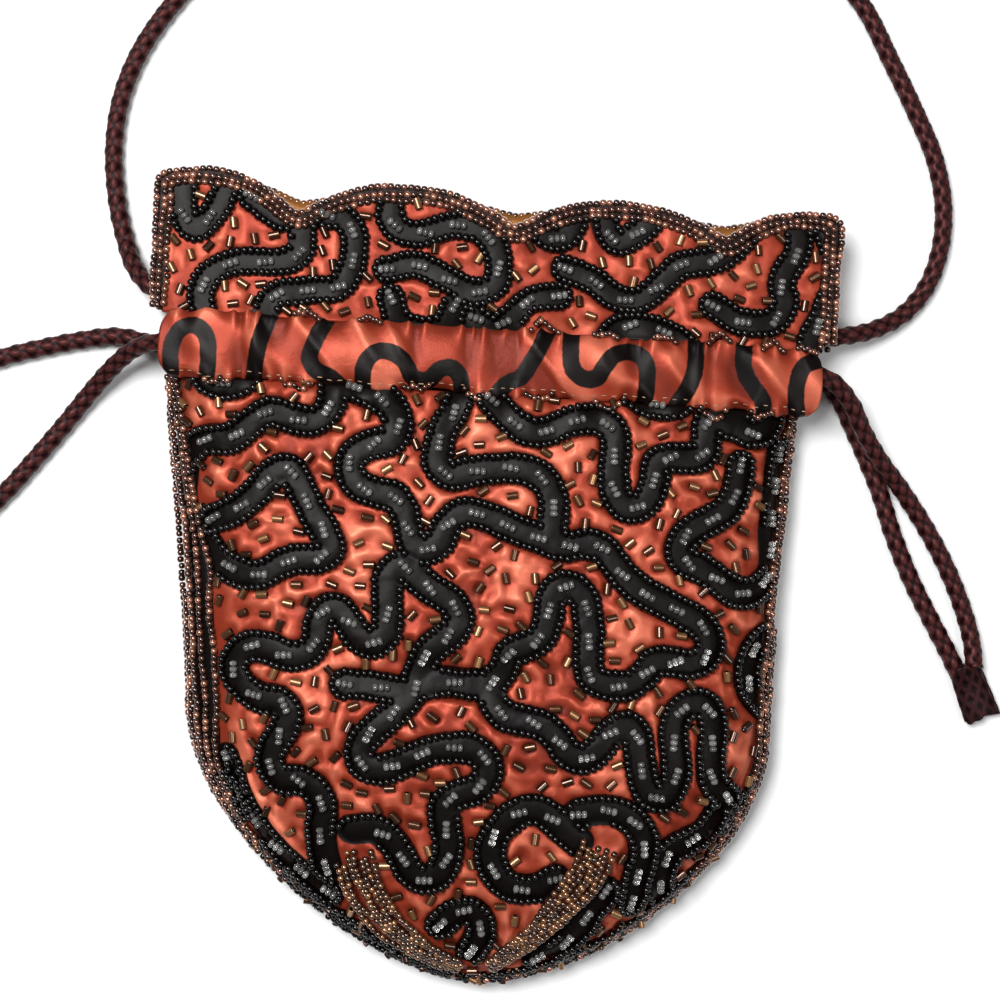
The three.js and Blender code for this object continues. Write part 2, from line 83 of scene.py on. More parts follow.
# Bead bands over the side seams and over the darts of the base
SEAM_BAND_CLEAR, SEAM_BAND_LIMIT, SEAM_BAND_TIP = 0.45, 0.6, 0.003
SEAM_BAND_NARROWS = 0.55  # share of its height that a seam band loses to the mouth
BASE_NARROWS, BASE_NARROWS_FROM, BASE_NARROWS_TO = 0.6, -42.0, -68.0  # and round the base
TUCK_FROM = 0.72  # share of a seam band's height above which it sinks onto the satin
SEAM_BANDS = {"left": (-1, 9.0, 2.0, 6), "right": (1, 4.2, 4.0, 5)}  # side, above, below, strings
BRONZE_ENDS_Y = {"left": -70.0, "right": -94.0}  # below which the seam's strings are black
BRONZE_END_BLUR = 7.0
BASE_BANDS = {
    "left": ((-26, -66), (-21.5, -86), (1.5, -94.6), 5.3, 2.2),
    "right": ((34.5, -60.5), (30.2, -76.4), (9.2, -94), 4.7, 2.2),
}  # top, bend, tip, half width at the top and at the tip
BASE_STRINGS, DART_BEAD, DART_PITCH = 7, 1.75, 1.5

# Cords
CORD_RADIUS = 2.25
TABLE_Z = 2.4
TUNNEL_END, TUNNEL_RIGHT_RISE, TUNNEL_STEPS = 83.5, 1.6, 7

# Cloth and beads
SATIN_DEPTH = 1.2  # of the satin below the bead tops, which reach the solids' outer face
BACK_SATIN_DEPTH = 1.5
BEAD_LIFT = {1: 0.33, -1: 0.04}  # of bead middles off the cloth in bead widths; the back's are pressed in
LINING_DEPTH = 2.4
ROW_HALF, PRINT_HALF = 3.1, 3.95  # from a meander's middle to its bead rows and to the edge of its print
HEADING_ROW_HALF, HEADING_PRINT_HALF = 2.8, 3.6
CASING_PRINT_HALF = 2.1
BLACK_BEAD, BLACK_PITCH = 2.2, 1.62
CLEAR_BEAD, CLEAR_LENGTH, CLEAR_PITCH = 2.1, 1.45, 8.2
BUGLE_LENGTH, BUGLE_WIDTH, BUGLE_SPACING = 2.65, 1.95, 4.3
BRONZE_BEAD, BRONZE_PITCH = 1.85, 1.6
EDGING_BEAD, EDGING_PITCH = 1.9, 1.65

# Meanders of the body's print, as middle lines (x, y) on the front panel
BODY_MEANDERS = [
    [(-71, 52), (-70, 48), (-66, 46.2), (-61, 46.8), (-58, 51)],
    [(-73, 17.5), (-73.2, 23), (-72.8, 28.5), (-69, 32), (-62.5, 32.8), (-57.5, 37), (-53, 40), (-48.5, 39),
     (-44.5, 38), (-40.8, 39), (-38.3, 42.5), (-38, 50)],
    [(-65.5, 13), (-60, 15.3), (-55, 20), (-51.3, 25), (-47.8, 26.2), (-44, 21), (-41, 15.8), (-37.8, 11.5),
     (-36, 7), (-39, 4.8), (-44, 4.2), (-48.3, 2.5), (-52.5, 0), (-56.5, -0.3), (-61, 1.5), (-64.5, 4),
     (-66.5, 6.5)],
    [(-33, 47), (-27.5, 45.3), (-23, 42.5), (-21.4, 38.3), (-23, 34.8), (-27.5, 33.5), (-31.8, 30.8),
     (-32.8, 27), (-30.5, 23.3), (-25.8, 21.6), (-21.5, 21), (-18.8, 17.8), (-17.5, 13.5), (-16, 9.8),
     (-13, 8.5), (-9.8, 10.5), (-8.2, 14.3), (-5.5, 17.3), (-2, 18.2), (2.5, 17.2), (7, 15.5), (11.5, 14),
     (17, 12.5), (22, 11.5), (26.5, 12.5), (30.5, 11.5), (33.3, 8.3), (36.5, 4.5), (40.5, 1.5), (46, -1),
     (51.8, -3.5), (56.3, -6.5), (58.3, -10.3), (57, -13.8), (53.5, -15.5), (48.8, -15), (45, -15.5),
     (42.5, -18.5), (39, -21.3), (34, -21.8), (29.5, -20), (28.4, -15), (28.4, -10), (27.7, -5),
     (26.5, -0.8), (23.5, 1.5), (20.3, 1.3), (18.5, -1.5), (18.1, -6), (16.8, -11), (12.5, -13.5),
     (9.3, -15.5), (8.3, -19), (5.5, -23)],
    [(-6, 50), (-8, 42.5), (-10.2, 38.5), (-11.3, 33.5), (-11, 29.5), (-8, 27), (-3.5, 28), (2.5, 29.2),
     (8.5, 29.8), (13.5, 28.5), (16.5, 25.5), (17.8, 21.5), (17.7, 17), (17.5, 12.5)],
    [(1, 46), (5, 42.5), (8, 40.3), (11.5, 39), (15.5, 39.5), (19.5, 41.5), (23.5, 42.7), (28, 42.8),
     (31, 40.5), (31.9, 37), (31.9, 33), (32, 28.5), (33, 24.5), (35.7, 22), (38.5, 22.2), (40.8, 24.5),
     (42, 29), (42.5, 33.5), (46, 34.8), (50, 34.8), (53.5, 36), (54.3, 40), (54.5, 44), (57, 46.5),
     (60, 43.5)],
    [(60.5, 48), (62, 43.8), (65.5, 42), (69, 43.5), (70.5, 48)],
    [(34, 51), (38, 48.5), (42.5, 47.3), (46.5, 48), (49, 51)],
    [(63.2, 34), (62.8, 30), (62.2, 26.5), (60, 22.5), (56.5, 20), (53, 17.8), (50, 15), (49.3, 11.8),
     (51.3, 9.3), (55, 8), (58.5, 6), (62, 3.5), (65.5, 2.5), (69.3, 3.8), (72, 7.3), (72.5, 12), (72, 18),
     (72.3, 25), (72.5, 31), (73, 37.5)],
    [(-17.5, 4), (-14, 1.2), (-10, -1.5), (-5.8, -3.8), (-3.5, -7.8), (-5, -11.3), (-8.5, -13.8),
     (-11.3, -17.5), (-12.5, -21.3), (-13, -25.5)],
    [(-15.5, 3.2), (-19, 4.2), (-21.5, 1.5), (-21.3, -3), (-21, -8), (-21.3, -12.5), (-24.5, -15),
     (-28, -13), (-30.5, -10), (-33, -7.3), (-36, -7.3), (-37.8, -11), (-38, -15), (-40.5, -18.5),
     (-45, -19.5), (-49.5, -18), (-54, -17.8), (-57.3, -20.5), (-58, -24), (-55.5, -27.8), (-51, -30.2),
     (-46, -30.8), (-43.7, -33.5), (-44.5, -37.5), (-47.2, -42), (-47.5, -46.5), (-44.5, -49.7),
     (-40, -49.8), (-36.3, -51.5), (-34, -56), (-34.2, -61.5), (-33.7, -66), (-32.3, -71)],
    [(-30.5, -25.5), (-26, -25.3), (-21, -25.8), (-15, -26), (-8, -23.5), (-1, -23.5), (5.5, -23.5)],
    [(-13, -25.5), (-15.8, -29.3), (-19.5, -33), (-23.5, -37), (-25.8, -41), (-25, -44.3), (-21.5, -45.5),
     (-17, -44.3), (-12.5, -42), (-8, -40), (-3, -39), (1.5, -39), (5, -41.2), (5.8, -45), (3.5, -48.5),
     (-1, -50.5), (-4, -53), (-3.8, -57.5), (-2.7, -62), (-3, -67), (-5.3, -71), (-8.8, -72.3), (-12, -70),
     (-14, -66.5), (-17, -62.8), (-21, -60.5), (-26.5, -61)],
    [(4.5, -23), (5.8, -27), (8.5, -30.3), (13, -31.6), (18, -32.2), (21.8, -35), (25, -38.8), (29, -39.8),
     (32.5, -37), (35, -33.3), (38.5, -31.3), (41.3, -33.5), (42.5, -38.5), (43.8, -44), (46, -48),
     (49.5, -48.3), (51.7, -44), (51.3, -38.5), (50.5, -32.5), (51.5, -27.7), (55, -25), (58.5, -26),
     (60.3, -31), (60.2, -38), (61.2, -44), (65.5, -48.5)],
    [(29, -60.5), (25, -57.3), (21.5, -54.5), (17.5, -53), (13.5, -54.3), (10, -57.5), (7.8, -61.5),
     (7.8, -66), (10, -70.5), (14, -72.8), (19, -72.8), (24, -70)],
    [(28.5, -53.5), (33, -52.3), (38, -52.5), (42.3, -54.8), (44.8, -59), (45.2, -63.5), (44, -69),
     (43.3, -75.5)],
    [(-3.5, -83.5), (-0.5, -80.8), (3, -79.3), (6, -81.5), (6.3, -85.5), (4.5, -90)],
    [(73, -7.5), (69.8, -11), (68.3, -16), (69, -20.5), (72.5, -25.5)],
    [(62.5, -53), (60, -57), (56, -59.5), (52, -62), (50.5, -66), (50, -70.5), (51.5, -75)],
    [(36.5, -72.5), (33.5, -77), (31, -82), (27, -87), (21, -91)],
    [(-58.5, -46), (-55, -54), (-51.5, -60), (-47, -65.5), (-41.5, -70.5), (-36, -74.5), (-31.5, -77.5)],
    [(-34.5, -83.5), (-28, -86), (-22, -89.5), (-15, -92.5)],
    [(-64, -48), (-61, -57), (-56, -65), (-49.5, -72), (-42, -78.5), (-36, -82.5)],
]
HEADING_MEANDERS = [
    [(-78.5, 96), (-78.3, 90), (-77.3, 86), (-74.8, 84.3), (-72.3, 86.3), (-69.8, 89.8), (-67.6, 95)],
    [(-61.5, 93), (-57.5, 90.5), (-53, 88)],
    [(-71, 62), (-72.5, 68.5), (-69.5, 74), (-64, 76.5), (-52, 77.5), (-48.5, 80), (-48.3, 83),
     (-48.5, 88)],
    [(-42.5, 89.5), (-38.5, 88.8), (-36, 86), (-35.3, 81), (-36, 76), (-39, 71.5), (-46, 70.5), (-54, 68.5),
     (-57, 62)],
    [(-27, 96), (-27, 90.5), (-24.8, 87.3), (-20.5, 86.2), (-15.5, 87.5), (-10.5, 89), (-5.5, 88.3),
     (-1.5, 85.5), (0.5, 80.5), (0, 75), (-5, 72.5), (-12, 75.5), (-20, 78.5), (-27, 77)],
    [(-25.5, 70), (-23, 64.5), (-17, 62.5), (-11.5, 64), (-9.5, 69)],
    [(-4, 66), (0, 63.5), (3.5, 66), (9, 71.5), (16, 73)],
    [(10.3, 91.5), (11.5, 88.3), (14.5, 87.2), (17.3, 88.5), (18.8, 92)],
    [(26, 95.5), (27, 90), (29.8, 87.3), (33, 88.8), (36.5, 91.8), (39.3, 95.5)],
    [(17, 80), (24, 77.5), (30, 73.5), (36.5, 73.5), (42.5, 79.5), (45.5, 82.5), (50, 83.3), (54.5, 84.8),
     (58, 87.3), (60.5, 90)],
    [(73.5, 95), (74.6, 90.5), (74, 86.5), (71.8, 83), (70.8, 79), (72, 75), (69, 70), (61, 69.5),
     (54, 73)],
    [(28, 62), (31, 66), (38, 66.5), (45, 64.5), (49, 61)],
    [(80.8, 95), (82.5, 91), (83.8, 87), (84, 80), (81.5, 72), (79, 66), (80, 61)],
]
CASING_MEANDERS = [
    [(-78.5, 48), (-78.6, 55), (-76.5, 59), (-73, 60), (-70, 57.5), (-69.2, 52), (-69.5, 47)],
    [(-54, 66), (-56.6, 57.5), (-57.3, 53.5), (-58, 46)],
    [(-39.5, 66), (-43.3, 57.5), (-44.3, 53.5), (-42.5, 50.8), (-38.5, 49), (-35, 46)],
    [(-30.8, 46), (-30.5, 53), (-28, 56), (-24.5, 56.3), (-21, 54.3), (-18.5, 50.3), (-15, 50), (-12, 52.8),
     (-9, 53.3), (-7, 51), (-6.3, 46)],
    [(14.5, 66), (11.5, 58.5), (9.8, 55.3), (8, 52.3), (4.5, 50.3), (1, 46)],
    [(19.5, 65), (20.3, 55), (23, 52.8), (26.3, 53), (28.3, 56.3), (30.5, 59), (35, 60), (38, 58),
     (38.8, 53.5), (38.3, 46)],
    [(50.3, 66), (50.4, 57.5), (49.3, 53), (45.5, 46)],
    [(62.3, 66), (62.6, 57.5), (65, 53.5), (67.6, 50.3), (68, 45)],
    [(84, 62), (77.5, 59.5), (75.8, 55), (75.8, 51), (77, 45)],
]
# Middles of the little arcs of bronze beads along the casing's two seams (x, y)
SEAM_CLUSTERS = [
    (-67, 49.5), (-47.5, 46.8), (-17.5, 46.6), (-3, 46.8), (12.5, 47.5), (30, 48.2), (55.5, 49),
    (67.5, 46.8), (-45.5, 62), (-30, 61.6), (13, 61.4), (28, 62.3), (42.5, 62.6), (56, 62.8), (69.5, 62.2),
    (78, 62.4),
]

# Sharp fold of the front panel's satin along the left of the base (x, y)
LEFT_FOLD = [(-62.5, -20), (-60.6, -31.8), (-54.1, -48.8), (-44.6, -63), (-35.8, -72.3)]
FOLD_HEIGHT, FOLD_WIDTH = 1.0, 1.1

# Routes of the cords outside the tunnels (x, y, z)
RIGHT_TAIL_TO_FRONT = [
    (127.2, -13.2, 4.6), (126.4, -6.5, 3), (124.2, 0.5, TABLE_Z), (119.6, 10.6, TABLE_Z),
    (113.4, 21, TABLE_Z), (106.2, 30.6, 3.7), (99.6, 37.8, 7), (94.4, 44.8, 9.7), (90.4, 51.6, 11.8),
]
LEFT_LOOP = [
    (-89, 53.8, 11), (-94.6, 49.4, 7.4), (-100.6, 42.8, 3.9), (-107.6, 33.4, TABLE_Z),
    (-115, 23.6, TABLE_Z), (-121.4, 15.6, TABLE_Z), (-129, 8.2, TABLE_Z), (-138, 5.4, TABLE_Z),
    (-146, 10.4, TABLE_Z), (-149.6, 19.6, TABLE_Z), (-147.6, 30.5, TABLE_Z), (-141.4, 39.6, TABLE_Z),
    (-133, 46, TABLE_Z), (-124.4, 49.9, TABLE_Z), (-114.2, 53.1, TABLE_Z), (-104.6, 55.6, TABLE_Z),
    (-95, 57.2, 3),
]
BACK_TO_RIGHT_TAIL = [
    (88.6, 53, 3.8), (92.8, 45.8, 2.7), (96.8, 38.2, TABLE_Z), (100.8, 29.8, TABLE_Z), (105, 19, TABLE_Z),
    (110.2, 8.1, TABLE_Z), (115.9, -1.8, TABLE_Z), (120.6, -9.6, TABLE_Z), (123.8, -15.4, TABLE_Z),
]
STRAP_ROUTE = [
    (-71, 66.4, 8.4), (-79, 67.2, 8.4), (-86.4, 69.8, 8), (-91.4, 74.8, 5.2), (-94.6, 81.6, 2.6),
    (-97.3, 91, TABLE_Z), (-99, 104, TABLE_Z), (-98.2, 116.5, TABLE_Z), (-94.8, 128, TABLE_Z),
    (-88.5, 139.5, TABLE_Z), (-79, 151.5, TABLE_Z), (-65, 163.5, TABLE_Z), (-46, 174, TABLE_Z),
    (-22, 181.5, TABLE_Z), (6, 184.5, TABLE_Z), (34, 182.2, TABLE_Z), (58, 175, TABLE_Z),
    (76, 165.4, TABLE_Z), (88.4, 153.6, TABLE_Z), (96.8, 139.6, TABLE_Z), (103.8, 127, TABLE_Z),
    (109.4, 115.6, TABLE_Z), (112.4, 104, TABLE_Z), (112.4, 93, TABLE_Z), (109.6, 83, TABLE_Z),
    (104, 75.4, 2.7), (96, 70.6, 5), (87.6, 68.2, 7.9), (79, 67, 8.4), (71, 66.4, 8.4),
]


# Small tools for arrays
NOISE_VALUES = 4096
SPLINE_STEPS = 24
NEAREST_BLOCK = 1500


def lerp(start, end, share):
    return start + (end - start) * share


def unit(vectors):
    return vectors / np.maximum(np.linalg.norm(vectors, axis=-1, keepdims=True), 1e-9)


def bell(distance, width):
    """Bell curve: one in the middle, falling with the square of the distance over the width."""
    return np.exp(-((distance / width) ** 2))


def value_noise(points, pitch, seed):
    """Smooth noise from -1 to 1: random values on a lattice of the pitch, eased together along each axis."""
    rng = np.random.default_rng(seed)
    order = rng.permutation(NOISE_VALUES)
    values = rng.uniform(-1, 1, NOISE_VALUES)
    last = NOISE_VALUES - 1
    cell = np.floor(points / pitch).astype(np.int64)
    share = points / pitch - cell
    ease = share * share * (3 - 2 * share)
    total = np.zeros(points.shape[:-1])
    for corner in itertools.product((0, 1), repeat=3):
        x, y, z = np.moveaxis(cell + np.array(corner), -1, 0)
        key = order[(order[(order[x & last] + y) & last] + z) & last]
        weight = np.prod(np.where(corner, ease, 1 - ease), axis=-1)
        total += values[key] * weight
    return total


def even_points(path, pitch):
    """Points spread evenly along a path, about a pitch apart, from its first point to its last."""
    length = np.concatenate([[0], np.cumsum(np.linalg.norm(np.diff(path, axis=0), axis=1))])
    at = np.linspace(0, length[-1], max(2, int(round(length[-1] / pitch)) + 1))
    return np.stack([np.interp(at, length, column) for column in path.T], axis=1)


def smooth_line(route, pitch):
    """Smooth curve through a route: a centripetal Catmull-Rom spline in Hermite form, evenly resampled."""
    route = np.asarray(route, float)
    knots = np.concatenate([[2 * route[0] - route[1]], route, [2 * route[-1] - route[-2]]])
    gap = np.sqrt(np.linalg.norm(np.diff(knots, axis=0), axis=1))[:, None]
    before, here, there, after = knots[:-3], knots[1:-2], knots[2:-1], knots[3:]
    gap_in, gap_on, gap_out = gap[:-2], gap[1:-1], gap[2:]
    step = (there - here) / gap_on
    leave = gap_on * ((here - before) / gap_in - (there - before) / (gap_in + gap_on) + step)
    arrive = gap_on * (step - (after - here) / (gap_on + gap_out) + (after - there) / gap_out)
    t = np.linspace(0, 1, SPLINE_STEPS, endpoint=False)[None, :, None]
    here, there, leave, arrive = (array[:, None, :] for array in (here, there, leave, arrive))
    curve = (
        (2 * t**3 - 3 * t**2 + 1) * here
        + (t**3 - 2 * t**2 + t) * leave
        + (3 * t**2 - 2 * t**3) * there
        + (t**3 - t**2) * arrive
    )
    return even_points(np.concatenate([curve.reshape(-1, route.shape[1]), route[-1:]]), pitch)


def nearest_distance(points, samples):
    """Distance from each point to the nearest sample, in blocks that spare memory."""
    far = []
    for block in np.array_split(points, len(points) // NEAREST_BLOCK + 1):
        squares = (block**2).sum(1)[:, None] + (samples**2).sum(1)[None, :] - 2 * block @ samples.T
        far.append(np.sqrt(np.maximum(squares.min(axis=1), 0)))
    return np.concatenate(far)


def spread_out(points, spacing):
    """Numbers of the points that are kept when each has to lie a spacing away from those kept before it."""
    kept = []
    for index, point in enumerate(points):
        if not kept or np.min(np.linalg.norm(points[kept] - point, axis=1)) >= spacing:
            kept.append(index)
    return np.array(kept, int)


# Meshes
def grid_quads(rows, columns, closed=False):
    """Quads of a grid of points, row by row; a closed grid joins its last column to its first."""
    grid = np.arange(rows * columns).reshape(rows, columns)
    if closed:
        grid = np.concatenate([grid, grid[:, :1]], axis=1)
    return np.stack([grid[:-1, :-1], grid[:-1, 1:], grid[1:, 1:], grid[1:, :-1]], axis=-1).reshape(-1, 4)


def grid_border(rows, columns):
    """Numbers of the points once round the border of a grid."""
    grid = np.arange(rows * columns).reshape(rows, columns)
    return np.concatenate([grid[0, :-1], grid[:-1, -1], grid[-1, :0:-1], grid[:0:-1, 0]])


def wall_mesh(outer, inner, step):
    """Closed wall of cloth: a fine outer grid, an inner grid with every step-th of its points, and a rim."""
    rows, columns = outer.shape[:2]
    inner_rows, inner_columns = inner.shape[:2]
    first = rows * columns
    back = grid_quads(inner_rows, inner_columns)[:, ::-1] + first
    quads = np.concatenate([grid_quads(rows, columns), back])
    coarse = grid_border(inner_rows, inner_columns) + first
    fine = grid_border(rows, columns)
    places = np.arange(len(coarse))[:, None] * step + np.arange(step + 1)
    fine = fine[places % len(fine)]
    onward = np.roll(coarse, -1)
    middle = step // 2
    rim = [np.stack([coarse, onward, fine[:, middle]], axis=1)]
    for index in range(step):
        anchor = coarse if index < middle else onward
        rim.append(np.stack([anchor, fine[:, index + 1], fine[:, index]], axis=1))
    points = np.concatenate([outer.reshape(-1, 3), inner.reshape(-1, 3)])
    return points, quads, np.concatenate(rim)


def pipe_mesh(outer, inner):
    """Open pipe: two closed grids of rings, the inner one turned inwards, joined by a rim at each end."""
    rings, sides = outer.shape[:2]
    inner_rings = inner.shape[0]
    first = rings * sides
    around = np.arange(sides)
    onward = np.roll(around, -1)
    outer_end, inner_end = first - sides, first + (inner_rings - 1) * sides
    start_rim = np.stack([around, first + around, first + onward, onward], axis=1)
    end_rim = [outer_end + around, outer_end + onward, inner_end + onward, inner_end + around]
    end_rim = np.stack(end_rim, axis=1)
    shell = grid_quads(rings, sides, closed=True)[:, ::-1]
    bore = grid_quads(inner_rings, sides, closed=True) + first
    quads = np.concatenate([shell, bore, start_rim[:, ::-1], end_rim[:, ::-1]])
    return np.concatenate([outer.reshape(-1, 3), inner.reshape(-1, 3)]), quads, None


def rod_mesh(rings):
    """Closed rod: a grid of rings with a fan of triangles to a middle point at each end."""
    count, sides = rings.shape[:2]
    last = count * sides
    around = np.arange(sides)
    onward = np.roll(around, -1)
    tip = np.full(sides, last)
    start_fan = np.stack([onward, around, tip], axis=1)
    end_fan = np.stack([last - sides + around, last - sides + onward, tip + 1], axis=1)
    points = np.concatenate([rings.reshape(-1, 3), [rings[0].mean(axis=0), rings[-1].mean(axis=0)]])
    return points, grid_quads(count, sides, closed=True), np.concatenate([start_fan, end_fan])


def faced_out(points, quads, triangles):
    """The same faces, turned over if the volume that they enclose comes out negative."""
    corners = [quads[:, [0, 1, 2]], quads[:, [0, 2, 3]]]
    if triangles is not None:
        corners.append(triangles)
    a, b, c = np.moveaxis(points[np.concatenate(corners)], 1, 0)
    if np.einsum("ij,ij->", a, np.cross(b, c)) >= 0:
        return points, quads, triangles
    return points, quads[:, ::-1], None if triangles is None else triangles[:, ::-1]


def add_piece(name, shape, material, slot, nodes=(), **values):
    """Piece of the purse from points in millimetres, quads and triangles; values are one number a point."""
    points, quads, triangles = faced_out(*shape)
    sizes = np.full(len(quads), 4)
    corners = quads.ravel()
    if triangles is not None:
        sizes = np.concatenate([sizes, np.full(len(triangles), 3)])
        corners = np.concatenate([corners, triangles.ravel()])
    mesh = bpy.data.meshes.new(name)
    mesh.vertices.add(len(points))
    mesh.vertices.foreach_set("co", (points * MM).ravel())
    mesh.loops.add(len(corners))
    mesh.loops.foreach_set("vertex_index", corners.astype(np.int32))
    mesh.polygons.add(len(sizes))
    mesh.polygons.foreach_set("loop_start", (np.cumsum(sizes) - sizes).astype(np.int32))
    mesh.polygons.foreach_set("use_smooth", np.ones(len(sizes), bool))
    for attribute, numbers in values.items():
        mesh.attributes.new(attribute, "FLOAT", "POINT").data.foreach_set("value", numbers.astype(np.float32))
    mesh.update(calc_edges=True)
    mesh.validate()
    mesh.materials.append(material)
    piece = bpy.data.objects.new(name, mesh)
    bpy.context.scene.collection.objects.link(piece)
    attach(piece, "root")
    if nodes:
        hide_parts(*nodes)
    return piece


# Materials
def colour(code):
    """Linear red, green, blue and alpha of an sRGB hex value."""
    share = np.array([int(code[start : start + 2], 16) / 255 for start in (1, 3, 5)])
    linear = np.where(share <= 0.04045, share / 12.92, ((share + 0.055) / 1.055) ** 2.4)
    return (*linear.tolist(), 1.0)


def add_node(tree, kind, inputs=None, gives=0, stops=(), **settings):
    """The first or the named output of a new node with its settings.

    Each input is a value or the output that feeds it. Stops are a colour ramp's positions and hex colours.
    """
    node = tree.nodes.new(kind)
    for field, value in settings.items():
        setattr(node, field, value)
    for socket, value in (inputs or {}).items():
        if isinstance(value, bpy.types.NodeSocket):
            tree.links.new(value, node.inputs[socket])
        else:
            node.inputs[socket].default_value = value
    if stops:
        marks = node.color_ramp.elements
        for _ in stops[2:]:
            marks.new(0.5)
        for mark, (position, code) in zip(marks, stops):
            mark.position = position
            mark.color = colour(code)
    return node.outputs[gives] if node.outputs else None


def new_material(name):
    """A new material and its empty node tree."""
    material = bpy.data.materials.new(name)
    material.use_nodes = True
    material.node_tree.nodes.clear()
    return material, material.node_tree


def finished(material, tree, shader):
    """The material with its surface, given by the sockets of one principled shader."""
    surface = add_node(tree, "ShaderNodeBsdfPrincipled", shader)
    add_node(tree, "ShaderNodeOutputMaterial", {"Surface": surface})
    return material


def per_mm(pitch):
    """Scale of a texture on Object coordinates whose features are a pitch in millimetres apart."""
    return 1 / (pitch * MM)


WAVE_REPEAT = TURN / 14.14  # units between the crests of a diagonal wave texture of scale one


def satin_material(name, ground, printed):
    """Printed polyester satin, woven with long floats: a soft broad shine, and puckers that catch the light.

    The point attribute "print" is the distance outside the print's edge and "relief" the height of the sewn
    cloth, both in millimetres. Ground and printed are each a dark, a middle and a light colour; the relief
    picks among them as painted shade in the hollows and painted highlight on the ridges, and a slow noise of
    the dye varies them too.
    """
    material, tree = new_material(name)
    place = add_node(tree, "ShaderNodeTexCoord", gives="Object")
    edge = add_node(tree, "ShaderNodeAttribute", gives="Fac", attribute_name="print")
    relief = add_node(tree, "ShaderNodeAttribute", gives="Fac", attribute_name="relief")
    bleed = add_node(tree, "ShaderNodeTexNoise", {"Vector": place, "Scale": per_mm(1.6), "Detail": 2.0})
    wobble = add_node(tree, "ShaderNodeMath", {0: bleed, 1: 0.5, 2: edge}, operation="MULTIPLY_ADD")
    mask = add_node(tree, "ShaderNodeMapRange", {"Value": wobble, "From Min": 0.1, "From Max": 0.4})
    # The relief picks the colour's shade, painted shade in the cloth's hollows and painted highlight on its
    # ridges; a slow noise of the dye varies it too.
    rise = add_node(tree, "ShaderNodeMapRange", {"Value": relief, "From Min": -0.75, "From Max": 0.85})
    slow = add_node(tree, "ShaderNodeTexNoise", {"Vector": place, "Scale": per_mm(11), "Detail": 3.0})
    depth = add_node(tree, "ShaderNodeMath", {0: slow, 1: 0.3, 2: rise}, operation="MULTIPLY_ADD")
    shade = add_node(tree, "ShaderNodeMath", {0: depth, 1: 0.15}, operation="SUBTRACT")
    print_dye_and_painted_shade, ground_dye_and_painted_shade = (
        add_node(tree, "ShaderNodeValToRGB", {"Fac": shade}, stops=list(zip((0.0, 0.5, 1.0), codes)))
        for codes in (printed, ground)
    )
    dye = {"Factor": mask, 6: print_dye_and_painted_shade, 7: ground_dye_and_painted_shade}
    # Floats of the weave are about 0.1 mm wide and are drawn at 0.5 mm, so that they show.
    weave = {"Vector": place, "Scale": per_mm(0.5) * WAVE_REPEAT, "Distortion": 4.0, "Detail": 3.0}
    floats = add_node(tree, "ShaderNodeTexWave", weave, gives="Fac", bands_direction="DIAGONAL")
    crumple = add_node(tree, "ShaderNodeTexNoise", {"Vector": place, "Scale": per_mm(1.3), "Detail": 3.0})
    cloth = add_node(tree, "ShaderNodeMath", {0: crumple, 1: 6.0, 2: floats}, operation="MULTIPLY_ADD")
    loose = add_node(tree, "ShaderNodeMapRange", {"Value": mask, "To Min": 0.7, "To Max": 1.0})
    grain = add_node(tree, "ShaderNodeMath", {0: cloth, 1: loose}, operation="MULTIPLY")
    bump = {"Height": grain, "Strength": 0.35, "Distance": 0.035 * MM}
    shader = {
        "Base Color": add_node(tree, "ShaderNodeMix", dye, gives=2, data_type="RGBA"),
        "Roughness": add_node(tree, "ShaderNodeMapRange", {"Value": slow, "To Min": 0.36, "To Max": 0.5}),
        "Metallic": 0.3,
        "IOR": 1.54,
        "Specular IOR Level": 0.1,
        "Sheen Weight": 0.03,
        "Sheen Roughness": 0.4,
        "Sheen Tint": colour("#F0A080"),
        "Normal": add_node(tree, "ShaderNodeBump", bump),
    }
    return finished(material, tree, shader)


def bead_material(name, stops, roughness, metallic=0.0, coat=0.0, bore=None, shine=0.5):
    """Drawn and fire-polished glass beads with hard small glints, or thread where it is rough.

    The point attribute "tone" picks the shade of each bead or stitch.

    Where there is a bore colour, the point attribute "bore" marks the inside of each bead, painted in that
    dark colour as shade.
    """
    material, tree = new_material(name)
    tone = add_node(tree, "ShaderNodeAttribute", gives="Fac", attribute_name="tone")
    shade = add_node(tree, "ShaderNodeValToRGB", {"Fac": tone}, stops=stops)
    if bore:
        inside = add_node(tree, "ShaderNodeAttribute", gives="Fac", attribute_name="bore")
        # The bore is painted dark as shade inside the bead
        painted_shade = {"Factor": inside, 6: shade, 7: colour(bore)}
        shade = add_node(tree, "ShaderNodeMix", painted_shade, gives=2, data_type="RGBA")
    gloss = {"Value": tone, "To Min": roughness * 0.7, "To Max": roughness * 1.4}
    shader = {
        "Base Color": shade,
        "Roughness": add_node(tree, "ShaderNodeMapRange", gloss),
        "Metallic": metallic,
        "IOR": 1.6,
        "Specular IOR Level": shine,
        "Coat Weight": coat,
        "Coat Roughness": 0.06,
    }
    return finished(material, tree, shader)


def clear_glass_material():
    """Clear pressed glass: mostly let through, with white glints and a grey rim against the print."""
    material, tree = new_material("clear_pressed_glass")
    tone = add_node(tree, "ShaderNodeAttribute", gives="Fac", attribute_name="tone")
    tint = add_node(tree, "ShaderNodeValToRGB", {"Fac": tone}, stops=[(0.0, "#A8A6A2"), (1.0, "#F2F0EC")])
    shader = {"Base Color": tint, "Roughness": 0.04, "IOR": 1.52, "Transmission Weight": 0.86}
    return finished(material, tree, shader)


